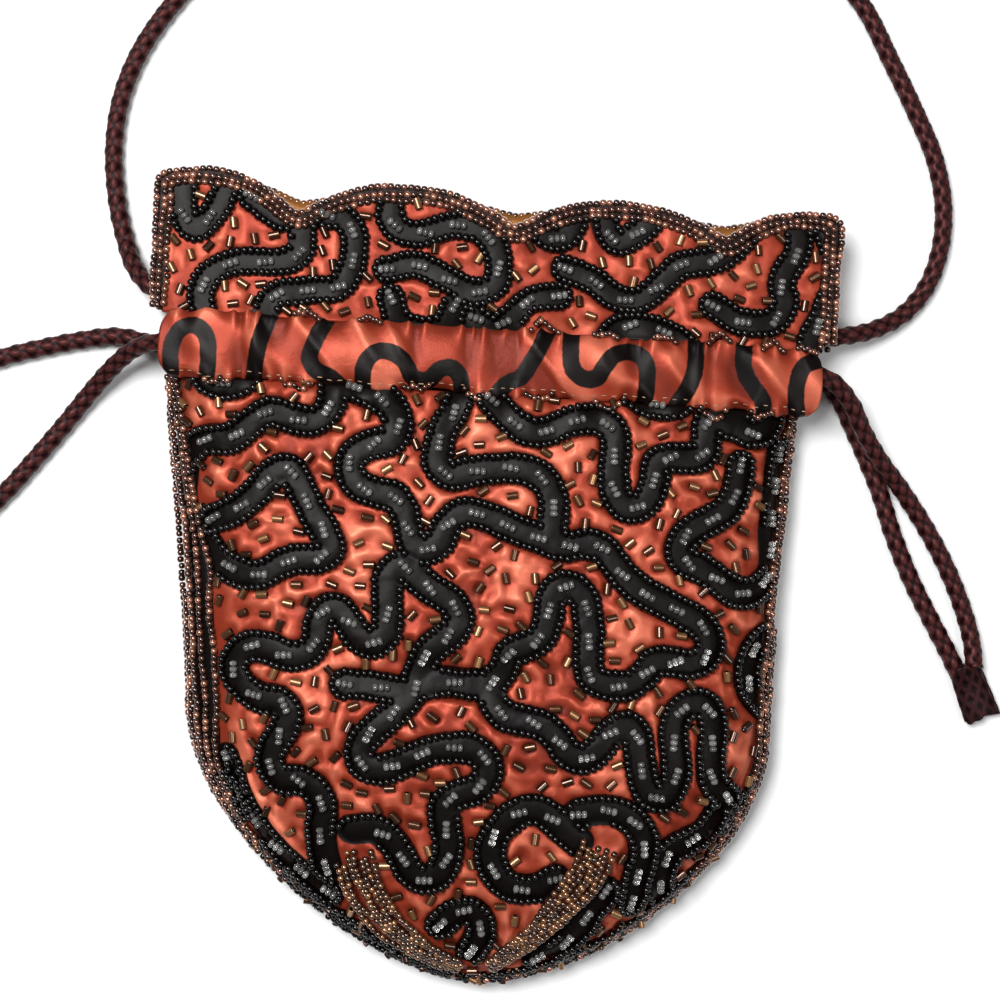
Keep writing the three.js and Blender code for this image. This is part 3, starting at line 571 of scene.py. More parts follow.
def braid_material(name, painted_shade, middle, painted_highlight):
    """Braided viscose yarn: silky strands with fine filaments, painted dark in the gaps between them as shade
    and lighter on their crowns as painted highlight.

    The point attribute "strand" is 0 in the gaps and 1 on the crowns of the strands.
    """
    material, tree = new_material(name)
    place = add_node(tree, "ShaderNodeTexCoord", gives="Object")
    strand = add_node(tree, "ShaderNodeAttribute", gives="Fac", attribute_name="strand")
    # Filaments are finer than a hair and are drawn at 0.5 mm, so that they show.
    fuzz = add_node(tree, "ShaderNodeTexNoise", {"Vector": place, "Scale": per_mm(0.5), "Detail": 3.0})
    shade = add_node(tree, "ShaderNodeMath", {0: fuzz, 1: 0.35, 2: strand}, operation="MULTIPLY_ADD")
    stops = [(0.15, painted_shade), (0.7, middle), (1.0, painted_highlight)]
    shader = {
        "Base Color": add_node(tree, "ShaderNodeValToRGB", {"Fac": shade}, stops=stops),
        "Roughness": 0.42,
        "Metallic": 0.3,
        "IOR": 1.5,
        "Specular IOR Level": 0.08,
        "Normal": add_node(tree, "ShaderNodeBump", {"Height": fuzz, "Strength": 0.5, "Distance": 0.15 * MM}),
    }
    return finished(material, tree, shader)


def paper_material():
    """Matt white backdrop paper: a faint tooth and no shine."""
    material, tree = new_material("matt_backdrop_paper")
    place = add_node(tree, "ShaderNodeTexCoord", gives="Object")
    tooth = add_node(tree, "ShaderNodeTexNoise", {"Vector": place, "Scale": per_mm(3), "Detail": 2.0})
    shade = add_node(tree, "ShaderNodeValToRGB", {"Fac": tooth}, stops=[(0.0, "#D2D2D2"), (1.0, "#D8D8D8")])
    return finished(material, tree, {"Base Color": shade, "Roughness": 0.9})


# Dark, middle and light colours of the satin's ground and print, picked by its relief as painted shade and
# painted highlight
SATIN_GROUND_PAINTED_SHADES, SATIN_PRINT_PAINTED_SHADES = ("#380D06", "#7E2D1C", "#BE664E"), ("#050303", "#0A0605", "#110B0A")
SATIN = satin_material("printed_satin", SATIN_GROUND_PAINTED_SHADES, SATIN_PRINT_PAINTED_SHADES)
LINING_SHADES = ("#5E3618", "#855528", "#9E6C3A")
LINING = satin_material("lining_satin", LINING_SHADES, LINING_SHADES)
BLACK_GLASS = bead_material("black_seed_glass", [(0.0, "#020101"), (1.0, "#090605")], 0.09, shine=0.28)
CLEAR_GLASS = clear_glass_material()
BUGLE_SHADES = [(0.0, "#331B0E"), (0.6, "#583820"), (1.0, "#8C6542")]
# The bugles' last colour is painted shade inside their bores
BUGLE_GLASS = bead_material("bronze_lined_cut_glass", BUGLE_SHADES, 0.24, 0.7, 0.3, "#0C0604")
SEED_SHADES = [(0.0, "#2A150C"), (0.6, "#522E20"), (1.0, "#A87058")]
SEED_BRONZE = bead_material("bronze_seed_glass", SEED_SHADES, 0.13, 0.65, 0.9)
DART_SHADES = [(0.0, "#2C180D"), (0.6, "#543520"), (1.0, "#946742")]
DART_BRONZE = bead_material("golden_bronze_seed_glass", DART_SHADES, 0.14, 0.7, 0.9)
# Its dark colour is painted shade in the gaps between strands and its light colour painted highlight on their
# crowns
BRAID = braid_material("burgundy_viscose_braid", "#050101", "#1B080A", "#43201F")
THREAD = bead_material("spun_polyester_thread", [(0.0, "#6A4A34"), (1.0, "#A88868")], 0.6)
# The fused end's colours are painted shade between its ribs and painted highlight on them
FUSED_BRAID = braid_material("fused_braid_end", "#060202", "#150809", "#2A1214")


# Camera, straight above as the photograph has it
CAMERA_X, CAMERA_Y, CAMERA_HEIGHT = 4.61, 21.79, 520.0
CAMERA_ROLL = math.radians(3.6)
CAMERA_LENS, CAMERA_SENSOR = 73.26, 36.0

camera_data = bpy.data.cameras.new("camera")
camera_data.lens = CAMERA_LENS
camera_data.sensor_width = CAMERA_SENSOR
camera = bpy.data.objects.new("camera", camera_data)
camera.location = (CAMERA_X * MM, CAMERA_Y * MM, CAMERA_HEIGHT * MM)
camera.rotation_euler = (0, 0, CAMERA_ROLL)
bpy.context.scene.collection.objects.link(camera)
bpy.context.scene.camera = camera


# Cords
def casing_z(face, x):
    """Middle height of a tunnel at x: level at the back, falling with the cube of x at the front."""
    return CASING_Z[face] - CASING_END_DROP[face] * np.abs(x / CASING_HALF_WIDTH) ** 3


def tunnel_run(face, start_x, end_x):
    """The draw cord's points through a tunnel, on its middle line and a little higher at the right end."""
    x = np.linspace(start_x, end_x, TUNNEL_STEPS)
    y = CASING_Y + TUNNEL_RIGHT_RISE * (x + TUNNEL_END) / (2 * TUNNEL_END)
    return np.stack([x, y, casing_z(face, x)], axis=1)


BRAID_STRANDS, BRAID_LAY = 4, 4.2  # strands that wind each way, and their spacing along the cord
BRAID_SIDES, BRAID_STEP, BRAID_RELIEF = 24, 0.5, 0.7
BRAID_SUNK, BRAID_DIVE = 0.8, 0.4  # shares of the relief inside the cord's radius, and between over and under
BRAID_END_SHADE = 0.3


def braid(name, route, node):
    """Round braid along a route: two families of helical strands, each a half-round ridge, that pass over and
    under each other in turn; the higher of the two at each point is the surface."""
    path = smooth_line(route, BRAID_STEP)
    path[:, 2] = np.maximum(path[:, 2], TABLE_Z)
    along = unit(np.gradient(path, axis=0))
    side = unit(np.cross(along, [0, 0, 1]))
    up = np.cross(side, along)
    run = (np.arange(len(path)) * BRAID_STEP)[:, None]
    turn = (np.arange(BRAID_SIDES) / BRAID_SIDES)[None, :]
    phases = (BRAID_STRANDS * turn + run / BRAID_LAY, BRAID_STRANDS * turn - run / BRAID_LAY)
    heights = []
    for sign, own, other in ((1, *phases), (-1, *phases[::-1])):
        ridge = np.sqrt(np.abs(np.cos(np.pi * (own - np.round(own)))))
        over = sign * np.cos(np.pi * np.round(own)) * np.cos(np.pi * other)
        heights.append(ridge * (1 - BRAID_DIVE + BRAID_DIVE * over))
    strand = np.maximum(*heights)
    radius = CORD_RADIUS - BRAID_RELIEF * BRAID_SUNK + BRAID_RELIEF * strand
    angle = TURN * turn[..., None]
    out = np.cos(angle) * side[:, None, :] + np.sin(angle) * up[:, None, :]
    rings = path[:, None, :] + radius[..., None] * out
    # The strands' height picks the colour: painted shade in the gaps and painted highlight on the crowns
    shade = np.concatenate([strand.ravel(), np.full(2, BRAID_END_SHADE)])
    piece = add_piece(name, rod_mesh(rings), BRAID, "braided_cord", [node], strand=shade)
    return piece, path


DRAW_ROUTE = np.concatenate(
    [
        RIGHT_TAIL_TO_FRONT,
        tunnel_run(1, TUNNEL_END, -TUNNEL_END),
        LEFT_LOOP,
        tunnel_run(-1, -TUNNEL_END, TUNNEL_END),
        BACK_TO_RIGHT_TAIL,
    ]
)
draw_cord, draw_path = braid("draw_cord_braid", DRAW_ROUTE, "draw_cord")
strap_cord, strap_path = braid("strap_braid", STRAP_ROUTE, "strap")

END_X, END_Y, END_TURN = 125.5, -14.3, math.radians(-66)
END_START, END_LENGTH, END_NECK, END_FLARE, END_POWER, END_HALF_THICK = 1.1, 12.0, 4.2, 4.9, 1.5, 2.1
END_RINGS, END_SIDES, END_RIBS, END_LAY = 40, 48, 8, 20.0
END_OVERLAP, END_RISE = 3.0, 1.1  # over the ends of the two cords, and by half the height of the upper one
END_TORN, END_TEARS, END_SHADE = 0.8, ((0.5, 3, 1), (0.3, 8, 0)), 0.2  # tears: depth, count, phase
END_NECK_SWELL, END_RIB_SWELL = 0.25, 0.05


def fused_end():
    """Joined cord end: an oval section that takes in the two cords and flares along its way.

    It is plaited by the pressed strands, and its rim is torn by two waves round it.
    """
    share = np.linspace(0, 1, END_RINGS)[:, None]
    angle = TURN * np.arange(END_SIDES)[None, :] / END_SIDES
    rib = np.maximum(np.cos(END_RIBS * angle + END_LAY * share), np.cos(END_RIBS * angle - END_LAY * share))
    ragged = sum(depth * np.sin(count * angle + phase) for depth, count, phase in END_TEARS)
    reach = lerp(END_START - END_OVERLAP, END_START + END_LENGTH - END_TORN + ragged * share**4, share)
    swell = 1 - END_RIB_SWELL + END_RIB_SWELL * rib * (1 - share**6)
    swell = swell * (1 - END_NECK_SWELL * (1 - share) ** 12)
    half = lerp(END_NECK, END_FLARE, share**END_POWER) * swell
    across = half * np.cos(angle)
    over = END_RISE * np.clip(1 - 2 * share, 0, 1) ** 2
    height = over + (END_HALF_THICK + over) * swell * np.sin(angle)
    x = END_X + math.cos(END_TURN) * reach - math.sin(END_TURN) * across
    y = END_Y + math.sin(END_TURN) * reach + math.cos(END_TURN) * across
    rings = np.stack([x, y, TABLE_Z + height], axis=-1)
    # Painted highlight on the ribs and painted shade between them
    shade = np.concatenate([(0.5 + 0.5 * rib).ravel(), np.full(2, END_SHADE)])
    shape = rod_mesh(rings)
    return add_piece("cord_end_fused", shape, FUSED_BRAID, "braided_cord", ["cord_end"], strand=shade)


cord_end = fused_end()


# Shape of the body, casing and heading
def body_centre(y):
    return MOUTH_CENTRE + LEAN * (MOUTH_Y - y)


def base_angle(y, inset):
    """Angle round the base's superellipse, from 0 at the tip to a quarter turn at the belly."""
    down = np.clip((BELLY_Y - y) / (BELLY_Y - TIP_Y - inset), 0, 1)
    return np.arccos(down ** (BASE_POWER / 2))


def body_section(y, inset):
    """Half width, swell and share of the way from the belly to the mouth at y."""
    sine = np.sin(base_angle(y, inset))
    mouth = np.clip((y - BELLY_Y) / (MOUTH_Y - BELLY_Y), 0, 1)
    belly = BELLY_HALF - inset
    upper = lerp(belly, MOUTH_HALF - inset, mouth**TAPER)
    half = np.where(y < BELLY_Y, belly * sine ** (2 / BASE_POWER), upper)
    rise = np.where(y < BELLY_Y, sine**BASE_RISE, 1.0)
    return half, rise, mouth


def crown_height(y):
    """Height of the front panel's middle over the side seams."""
    _, rise, mouth = body_section(y, 0)
    return (lerp(BELLY_Z, MOUTH_Z, mouth) - SEAM_Z) * rise


def front_z(x, y, inset=SATIN_DEPTH):
    """Front panel: a superellipse across, rounder at the belly and boxier at the mouth, with gathers and
    a crease."""
    half, _, mouth = body_section(y, inset)
    q = np.clip((x - body_centre(y)) / np.maximum(half, 1e-6), -1, 1)
    dome = (1 - np.abs(q) ** lerp(BELLY_EDGE, MOUTH_EDGE, mouth)) ** (1 / CROWN_POWER)
    near = np.clip((mouth - GATHER_FROM) / (1 - GATHER_FROM), 0, 1) ** 2
    gathers = GATHER_DEPTH * near * (1 - q**4) * np.cos(TURN * GATHER_COUNT * q)
    along = ((x - CREASE_X) / CREASE_LENGTH) ** 4
    crease = CREASE_DEPTH * np.exp(-along - ((y - CREASE_Y) / CREASE_WIDTH) ** 2)
    roll = MOUTH_ROLL * np.clip(1 - (MOUTH_Y - y) / MOUTH_ROLL_LENGTH, 0, 1) ** 2
    return SEAM_Z + SEAM_GAP + np.maximum(0, (crown_height(y) - inset + gathers - crease - roll) * dome)


def back_z(x, y, inset=BACK_SATIN_DEPTH):
    """Back panel: flat on the table, curving up as a square to the side seams, the tip and the casing."""
    half, _, mouth = body_section(y, inset)
    u = np.clip(np.abs(x - body_centre(y)) / np.maximum(half, 1e-6), 0, 1)
    row = BASE_SHARE * base_angle(y, inset) / (TURN / 4)
    tip = np.maximum(0, 1 - row / TIP_LIFT) ** 2
    lift = MOUTH_LIFT * (np.maximum(0, mouth - MOUTH_LIFT_FROM) / (1 - MOUTH_LIFT_FROM)) ** 2
    rim = SEAM_Z - SEAM_GAP
    floor = lerp(lift + inset, rim, tip)
    side = (np.maximum(0, u - FLAT_SHARE) / (1 - FLAT_SHARE)) ** 2
    return lerp(floor, rim, side)


def scallop_y(face, x):
    """Free edge of a heading: crests that fall to the notches by a power of the distance from their
    middle."""
    piece = np.clip(np.searchsorted(SCALLOP_ENDS, x) - 1, 0, len(SCALLOP_CRESTS) - 1)
    start, end = SCALLOP_ENDS[piece], SCALLOP_ENDS[piece + 1]
    notch = HEADING_NOTCH + (BACK_NOTCH_RISE if face < 0 else 0)
    crest = SCALLOP_CRESTS[piece] - (BACK_CREST_DROP if face < 0 else 0)
    return lerp(crest, notch, np.abs(2 * (x - start) / (end - start) - 1) ** SCALLOP_POWER)


def heading_z(face, x, y):
    """Middle of the heading's cloth: it leaves the tunnel's middle and settles by a cube to its free edge."""
    up = np.clip((y - HEADING_FOOT) / (HEADING_NOTCH - HEADING_FOOT), 0, 1)
    settle = (1 - up) ** 3
    ruffle = HEADING_RUFFLE * settle * np.cos(TURN * x / GATHER_PITCH)
    wave = HEADING_WAVE * up * np.cos(TURN * x / HEADING_WAVE_PITCH)
    return lerp(HEADING_Z[face], casing_z(face, x), settle) + ruffle + wave


def face_normal(height, out, x, y):
    """Unit normal of a height over x and y by small differences, turned up (+1) or down (-1)."""
    nudge = 0.05
    slope_x = (height(x + nudge, y) - height(x - nudge, y)) / (2 * nudge)
    slope_y = (height(x, y + nudge) - height(x, y - nudge)) / (2 * nudge)
    return unit(out * np.stack([-slope_x, -slope_y, np.ones_like(x)], axis=-1))


# Beads, each a small shape along its own first axis, copied to its places
BEAD_SIDES, BEAD_VARIES = 8, (0.93, 1.05)
BEAD_RINGS = ((-0.38, 0.4), (0, 0.5), (0.38, 0.4))  # places along a seed bead, and its radius there
BUGLE_BORE = 0.5
BUGLE_RINGS = (-0.5, -0.44, 0.44, 0.5)


def circle(radius):
    """Ring of points round the first axis."""
    angle = TURN * np.arange(BEAD_SIDES) / BEAD_SIDES
    return radius * np.stack([np.zeros(BEAD_SIDES), np.cos(angle), np.sin(angle)], axis=1)


def seed_bead():
    """Round bead of unit length and width: three rings, closed by a point at each end."""
    points, quads, triangles = rod_mesh(np.array([circle(radius) + [at, 0, 0] for at, radius in BEAD_RINGS]))
    points[-2:, 0] = (-0.5, 0.5)
    return faced_out(points, quads, triangles)


def bugle_bead():
    """Short cut tube of unit length and width with an open bore; rings near its ends keep its wall
    straight."""
    outer = np.array([circle(0.5) + [at, 0, 0] for at in BUGLE_RINGS])
    inner = np.array([circle(0.5 * BUGLE_BORE) + [at, 0, 0] for at in (-0.5, 0.5)])
    return faced_out(*pipe_mesh(outer, inner))


def joined(shape, places, along, normals, length, width):
    """Copies of a small shape in one mesh: each point is the bead's place plus its mix of the bead's
    three axes."""
    points, quads, triangles = shape
    side = unit(np.cross(normals, along))
    up = np.cross(along, side)
    axes = np.stack([along * length, side * width, up * width], axis=1)
    spread = places[:, None, :] + np.einsum("pk,nkc->npc", points, axes)
    shift = (np.arange(len(places)) * len(points))[:, None, None]
    quads = (quads[None] + shift).reshape(-1, 4)
    if triangles is not None:
        triangles = (triangles[None] + shift).reshape(-1, 3)
    return spread.reshape(-1, 3), quads, triangles


def bead_piece(name, shape, places, along, normals, size, material, seed, nodes=(), bore=None):
    """One mesh of beads with a seeded tone for each; size is a bead's length and width, varied a little."""
    rng = np.random.default_rng(seed)
    count = len(places)
    vary = rng.uniform(*BEAD_VARIES, (count, 1))
    mesh = joined(shape, places, unit(along), normals, size[0] * vary, size[1] * vary)
    values = {"tone": np.repeat(rng.uniform(0, 1, count), len(shape[0]))}
    if bore is not None:
        values["bore"] = np.tile(bore, count)
    return add_piece(name, mesh, material, "bronze_beads", nodes, **values)


SEED_BEAD = seed_bead()
BUGLE = bugle_bead()
# One inside a bugle's bore, where it is painted dark as shade
BUGLE_BORE_PAINTED_SHADE = np.repeat([0.0, 1.0], [len(BUGLE_RINGS) * BEAD_SIDES, 2 * BEAD_SIDES])


def lifted(plan, height):
    """Points of a plan (x, y) put on a height."""
    return np.column_stack([plan[:, 0], plan[:, 1], height(plan[:, 0], plan[:, 1])])


LINE_STEP = 0.4
ROW_WANDER, ROW_WANDER_PITCH, ROW_SLACK = 0.4, 4.5, 0.1
ROW_SPREAD, ROW_JITTER = 0.72, 0.07  # least spacing in pitches, and how far beads lie off their places
CLEAR_SPREAD, CLEAR_TURN = 0.75, 0.9  # least spacing in pitches, and how far threes turn off the meander
BUGLE_TRIES, BUGLE_MARGIN, BUGLE_CLEARANCE = 9000, 6, 1.55
BUGLE_ROLL, BUGLE_TILT = 0.4, 0.3


def row_round(line, half, height, out, seed):
    """Row round a meander: its line shifted by half to both sides, closed by round ends, put back on the
    cloth.

    The two sides wander a little, each by its own slow noise.
    """
    along = unit(np.gradient(line, axis=0))
    side = np.cross(face_normal(height, out, line[:, 0], line[:, 1]), along)
    turn = np.linspace(TURN / 4, -TURN / 4, 13)[1:-1, None]
    end = line[-1] + half * (np.sin(turn) * side[-1] + np.cos(turn) * along[-1])
    start = line[0] - half * (np.sin(turn) * side[0] + np.cos(turn) * along[0])
    wanders = [ROW_WANDER * value_noise(line, ROW_WANDER_PITCH, seed + number) for number in (0, 1)]
    left, right = (half + wander[:, None] for wander in wanders)
    loop = np.concatenate([line + left * side, end, (line - right * side)[::-1], start])
    loop = np.concatenate([loop, loop[:1]])
    return lifted(loop, height)


def beaded_face(name, meanders, height, out, inside, half, seed):
    """Sewn beads of a printed face: black rows round the meanders, clear threes along them, bugles
    between them.

    A bead of a row stays where no other meander comes nearer than the row does, so that rows join where
    meanders meet. Bugles are scattered with a least spacing and a clearance from the rows.
    """
    rng = np.random.default_rng(seed)
    lines = [lifted(smooth_line(points, LINE_STEP), height) for points in meanders]
    samples = np.concatenate(lines)

    rows = [even_points(row_round(line, half, height, out, seed), BLACK_PITCH)[:-1] for line in lines]
    ways = [np.roll(row, -1, axis=0) - np.roll(row, 1, axis=0) for row in rows]
    places, ways = np.concatenate(rows), np.concatenate(ways)
    clear = nearest_distance(places, samples) > half - ROW_WANDER - ROW_SLACK
    keep = inside(places[:, 0], places[:, 1]) & clear
    places, ways = places[keep], ways[keep]
    keep = spread_out(places, ROW_SPREAD * BLACK_PITCH)
    places, ways = places[keep], ways[keep]
    normals = face_normal(height, out, places[:, 0], places[:, 1])
    rows_at = places.copy()
    black = bead_piece(
        f"{name}_black_beads",
        SEED_BEAD,
        places + BEAD_LIFT[out] * BLACK_BEAD * normals + rng.normal(0, ROW_JITTER, places.shape),
        ways,
        normals,
        (BLACK_PITCH, BLACK_BEAD),
        BLACK_GLASS,
        seed + 1,
    )

    middles = [even_points(line, CLEAR_PITCH) for line in lines]
    ways = np.concatenate([np.gradient(line, axis=0) for line in middles])
    middles = np.concatenate(middles)
    keep = np.flatnonzero(inside(middles[:, 0], middles[:, 1]))
    keep = keep[spread_out(middles[keep], CLEAR_SPREAD * CLEAR_PITCH)]
    middles = middles[keep]
    ways = unit(ways[keep] + rng.normal(0, CLEAR_TURN, (len(keep), 3)) * [1, 1, 0])
    threes = np.concatenate([middles + step * CLEAR_LENGTH * ways for step in (-1, 0, 1)])
    threes = lifted(threes[:, :2], height)
    normals = face_normal(height, out, threes[:, 0], threes[:, 1])
    clear = bead_piece(
        f"{name}_clear_beads",
        SEED_BEAD,
        threes + BEAD_LIFT[out] * CLEAR_BEAD * normals,
        np.concatenate([ways, ways, ways]),
        normals,
        (CLEAR_LENGTH, CLEAR_BEAD),
        CLEAR_GLASS,
        seed + 2,
    )

    low, high = samples.min(axis=0), samples.max(axis=0)
    tries = rng.uniform(low[:2] - BUGLE_MARGIN, high[:2] + BUGLE_MARGIN, (BUGLE_TRIES, 2))
    tries = lifted(tries[inside(tries[:, 0], tries[:, 1])], height)
    tries = tries[nearest_distance(tries, samples) > half + BUGLE_CLEARANCE]
    tries = tries[spread_out(tries, BUGLE_SPACING)]
    normals = face_normal(height, out, tries[:, 0], tries[:, 1])
    angle = rng.uniform(0, TURN / 2, len(tries))
    ways = np.column_stack([np.cos(angle), np.sin(angle), np.zeros(len(tries))])
    ways = unit(ways - normals * np.sum(ways * normals, axis=1, keepdims=True))
    roll = rng.uniform(-BUGLE_ROLL, BUGLE_ROLL, (len(tries), 1))
    bugles = bead_piece(
        f"{name}_bugles",
        BUGLE,
        tries + BEAD_LIFT[out] * BUGLE_WIDTH * normals,
        unit(ways + BUGLE_TILT * BEAD_LIFT[out] * rng.normal(0, 1, (len(tries), 1)) * normals),
        unit(normals + roll * np.cross(normals, ways)),
        (BUGLE_LENGTH, BUGLE_WIDTH),
        BUGLE_GLASS,
        seed + 3,
        bore=BUGLE_BORE_PAINTED_SHADE,
    )
    return {
        "samples": samples,
        "rows": rows_at,
        "bugles": tries,
        "ways": ways,
        "half": half,
        "pieces": [black, clear, bugles],
    }


PUCKER_DEPTH, PUCKER_LENGTH, PUCKER_WIDTH = 0.5, 2.2, 1.3
PILLOW, PILLOW_AT, PILLOW_WIDTH, PUCKER_BLOCK = 0.45, 2.5, 1.0, 3000
ROW_DIP, ROW_DIP_WIDTH = 0.3, 1.0
MEANDER_PUFF, MEANDER_PUFF_WIDTH = 0.1, 1.6
GROUND_FROM, GROUND_EASE = 0.4, 1.6  # beyond the rows, where the ground's ridges and wrinkles set in
SWELL, SWELL_PITCH = 0.3, 13.0
CRUMPLE, GROUND_CRUMPLE, CRUMPLE_PITCH = 0.06, 0.1, 1.9
RIDGE, RIDGE_PITCH, RIDGE_POWER = 0.6, 8.5, 4
WRINKLE, WRINKLE_PITCH, WRINKLE_POWER = 0.22, 4.0, 3
SETTLED = 0.15  # of the sewn cloth below its plain shape


def sewn_relief(points, face, seed):
    """Height of the sewn cloth, and the distance from the meanders' middle.

    The cloth dips under each bugle with a pillow on both sides, dips along the bead rows and wrinkles slowly
    between them. Ridges and wrinkles are powers of one less the size of a noise.
    """
    distance = nearest_distance(points, face["samples"])
    beside = distance - face["half"]
    relief = MEANDER_PUFF * bell(distance, MEANDER_PUFF_WIDTH) - ROW_DIP * bell(beside, ROW_DIP_WIDTH)
    ground = np.clip((beside - GROUND_FROM) / GROUND_EASE, 0, 1)
    bugles, ways = face["bugles"], face["ways"]
    for block in np.array_split(np.arange(len(points)), len(points) // PUCKER_BLOCK + 1):
        offset = points[block][:, None, :] - bugles[None]
        along = np.einsum("pbc,bc->pb", offset, ways)
        across = np.sqrt(np.maximum((offset**2).sum(axis=2) - along**2, 0))
        near = bell(along, PUCKER_LENGTH)
        pillows = PILLOW * bell(across - PILLOW_AT, PILLOW_WIDTH)
        pucker = PUCKER_DEPTH * near * (pillows - bell(across, PUCKER_WIDTH))
        relief[block] += pucker.sum(axis=1)
    if "folds" in face:
        relief += FOLD_HEIGHT * bell(nearest_distance(points[:, :2], face["folds"]), FOLD_WIDTH)
    swell = SWELL * value_noise(points, SWELL_PITCH, seed)
    crumple = (CRUMPLE + GROUND_CRUMPLE * ground) * value_noise(points, CRUMPLE_PITCH, seed + 2)
    ridges = RIDGE * (1 - np.abs(value_noise(points, RIDGE_PITCH, seed + 1))) ** RIDGE_POWER
    wrinkles = WRINKLE * (1 - np.abs(value_noise(points, WRINKLE_PITCH, seed + 3))) ** WRINKLE_POWER
    return relief + (swell + crumple) + ground * (ridges + wrinkles) - SETTLED, distance


def grid_normals(points):
    """Unit normals of a grid of points: the cross product of its two directions."""
    return unit(np.cross(np.gradient(points, axis=1), np.gradient(points, axis=0)))


WALL_STEP = 4
UNPRINTED = 9.0  # distance from the print that plain cloth is given


def satin_wall(node, outer, inner, face, print_half, seed, fade):
    """Sewn satin as a closed wall: its outer grid is moved along its normals by the relief, faded at its
    rim."""
    relief, distance = sewn_relief(outer.reshape(-1, 3), face, seed)
    if "bound" in face:
        distance = np.minimum(distance, face["bound"](outer[..., 0].ravel(), outer[..., 1].ravel()))
    relief = relief.reshape(outer.shape[:2]) * fade
    outer = outer + relief[..., None] * grid_normals(outer)
    rest = len(inner.reshape(-1, 3))
    edge = np.concatenate([distance - print_half, np.full(rest, UNPRINTED)])
    # The relief is also the colour's shade: painted shade in the hollows and painted highlight on the ridges
    height = np.concatenate([relief.ravel(), np.full(rest, -SETTLED)])
    shape = wall_mesh(outer, inner, WALL_STEP)
    piece = add_piece(f"{node}_satin", shape, SATIN, "printed_satin", [node], print=edge, relief=height)
    piece.data.materials.append(LINING)
    slots = np.zeros(len(piece.data.polygons), np.int32)
    first = (outer.shape[0] - 1) * (outer.shape[1] - 1)
    slots[first : first + (inner.shape[0] - 1) * (inner.shape[1] - 1)] = 1
    piece.data.polygons.foreach_set("material_index", slots)
    return piece


# Panels of the body
FRONT_ROWS, FRONT_COLUMNS = 272, 280
BACK_ROWS, BACK_COLUMNS = 148, 164
FRONT_CROWD, BACK_RELIEF = 0.2, 0.5
SIDE_MARGIN, BAND_LAP, MOUTH_MARGIN = 0.5, 0.2, 0.2  # of the front's beads from its outline, bands and mouth
BACK_SHARE, BACK_MOUTH_MARGIN, BACK_TIP_MARGIN = 0.9, 0.6, 9  # the same for the back's beads
BAND_EASE = 2.5  # over which the cloth's relief sets in above a seam band
DART_STEPS, DART_CLEAR = 60, 0.9
TIP_ROW = 0.016  # share of the rows at which the cloth ends in a short blunt edge


def row_y(share, inset=0.0):
    """Y at a share of a panel's rows: round the base's superellipse, then straight up to the mouth."""
    angle = np.clip(share / BASE_SHARE, 0, 1) * TURN / 4
    base = BELLY_Y - (BELLY_Y - TIP_Y - inset) * np.abs(np.cos(angle)) ** (2 / BASE_POWER)
    side = lerp(BELLY_Y, MOUTH_Y, (share - BASE_SHARE) / (1 - BASE_SHARE))
    return np.where(share >= BASE_SHARE, side, base)


def panel_grid(height, rows, columns, inset, crowd):
    """Grid of a panel: rows from the tip to the mouth that close up at the base, columns that crowd
    outwards."""
    y = row_y(np.linspace(TIP_ROW, 1, rows + 1)[:, None], inset)
    u = np.linspace(-1, 1, columns + 1)[None, :]
    half, _, _ = body_section(y, inset)
    x = body_centre(y) + u * (1 + crowd - crowd * u * u) * half
    y = np.broadcast_to(y, x.shape)
    return np.stack([x, y, height(x, y, inset)], axis=-1)


def rim_fade(rows, columns, margin=6):
    """One inside a grid, easing to zero over a margin of points at its border."""
    row = np.minimum(np.arange(rows + 1), np.arange(rows + 1)[::-1])[:, None]
    column = np.minimum(np.arange(columns + 1), np.arange(columns + 1)[::-1])[None, :]
    return np.clip(np.minimum(row, column) / margin, 0, 1)


def dart_line(band):
    """Middle line and half width of a dart's band: a quadratic curve from its top by its bend to its tip."""
    top, bend, tip, top_half, tip_half = (np.array(value, float) for value in band)
    t = np.linspace(0, 1, DART_STEPS)[:, None]
    line = (1 - t) ** 2 * top + 2 * t * (1 - t) * bend + t**2 * tip
    return line, lerp(top_half, tip_half, t[:, 0] ** 2)


def clear_of_darts(x, y):
    """True where a place lies beside the bead bands over the darts."""
    clear = np.ones(np.shape(x), bool)
    for band in BASE_BANDS.values():
        line, half = dart_line(band)
        away = np.hypot(np.asarray(x)[:, None] - line[:, 0], np.asarray(y)[:, None] - line[:, 1]) - half
        clear &= away.min(axis=1) > DART_CLEAR
    return clear


def band_height(name, y):
    """Height of a seam band's upper edge over the seam: it narrows to the mouth and round the base."""
    to_mouth = SEAM_BAND_NARROWS * np.clip(y / MOUTH_Y, 0, 1)
    round_base = BASE_NARROWS * np.clip((y - BASE_NARROWS_FROM) / (BASE_NARROWS_TO - BASE_NARROWS_FROM), 0, 1)
    above = SEAM_BANDS[name][1] * (1 - to_mouth) * (1 - round_base)
    return np.minimum(above, SEAM_BAND_LIMIT * crown_height(y))


def band_edge(x, y):
    """Height over the seam of the upper edge of the seam band on the same side."""
    return np.where(x < body_centre(y), band_height("left", y), band_height("right", y))


def under_bands(grid):
    """Zero where the seam bands lie on the front panel, easing to one above their upper edges."""
    x, y, z = np.moveaxis(grid, -1, 0)
    return np.clip((z - SEAM_Z - band_edge(x, y)) / BAND_EASE, 0, 1)


def on_front(x, y):
    """True where the front panel shows between the seam bands, the darts and the casing."""
    half, _, _ = body_section(y, SATIN_DEPTH)
    within = np.abs(x - body_centre(y)) < half - SIDE_MARGIN
    above = front_z(x, y) - SEAM_Z > band_edge(x, y) - BAND_LAP
    return within & above & (y < MOUTH_Y - MOUTH_MARGIN) & clear_of_darts(x, y)


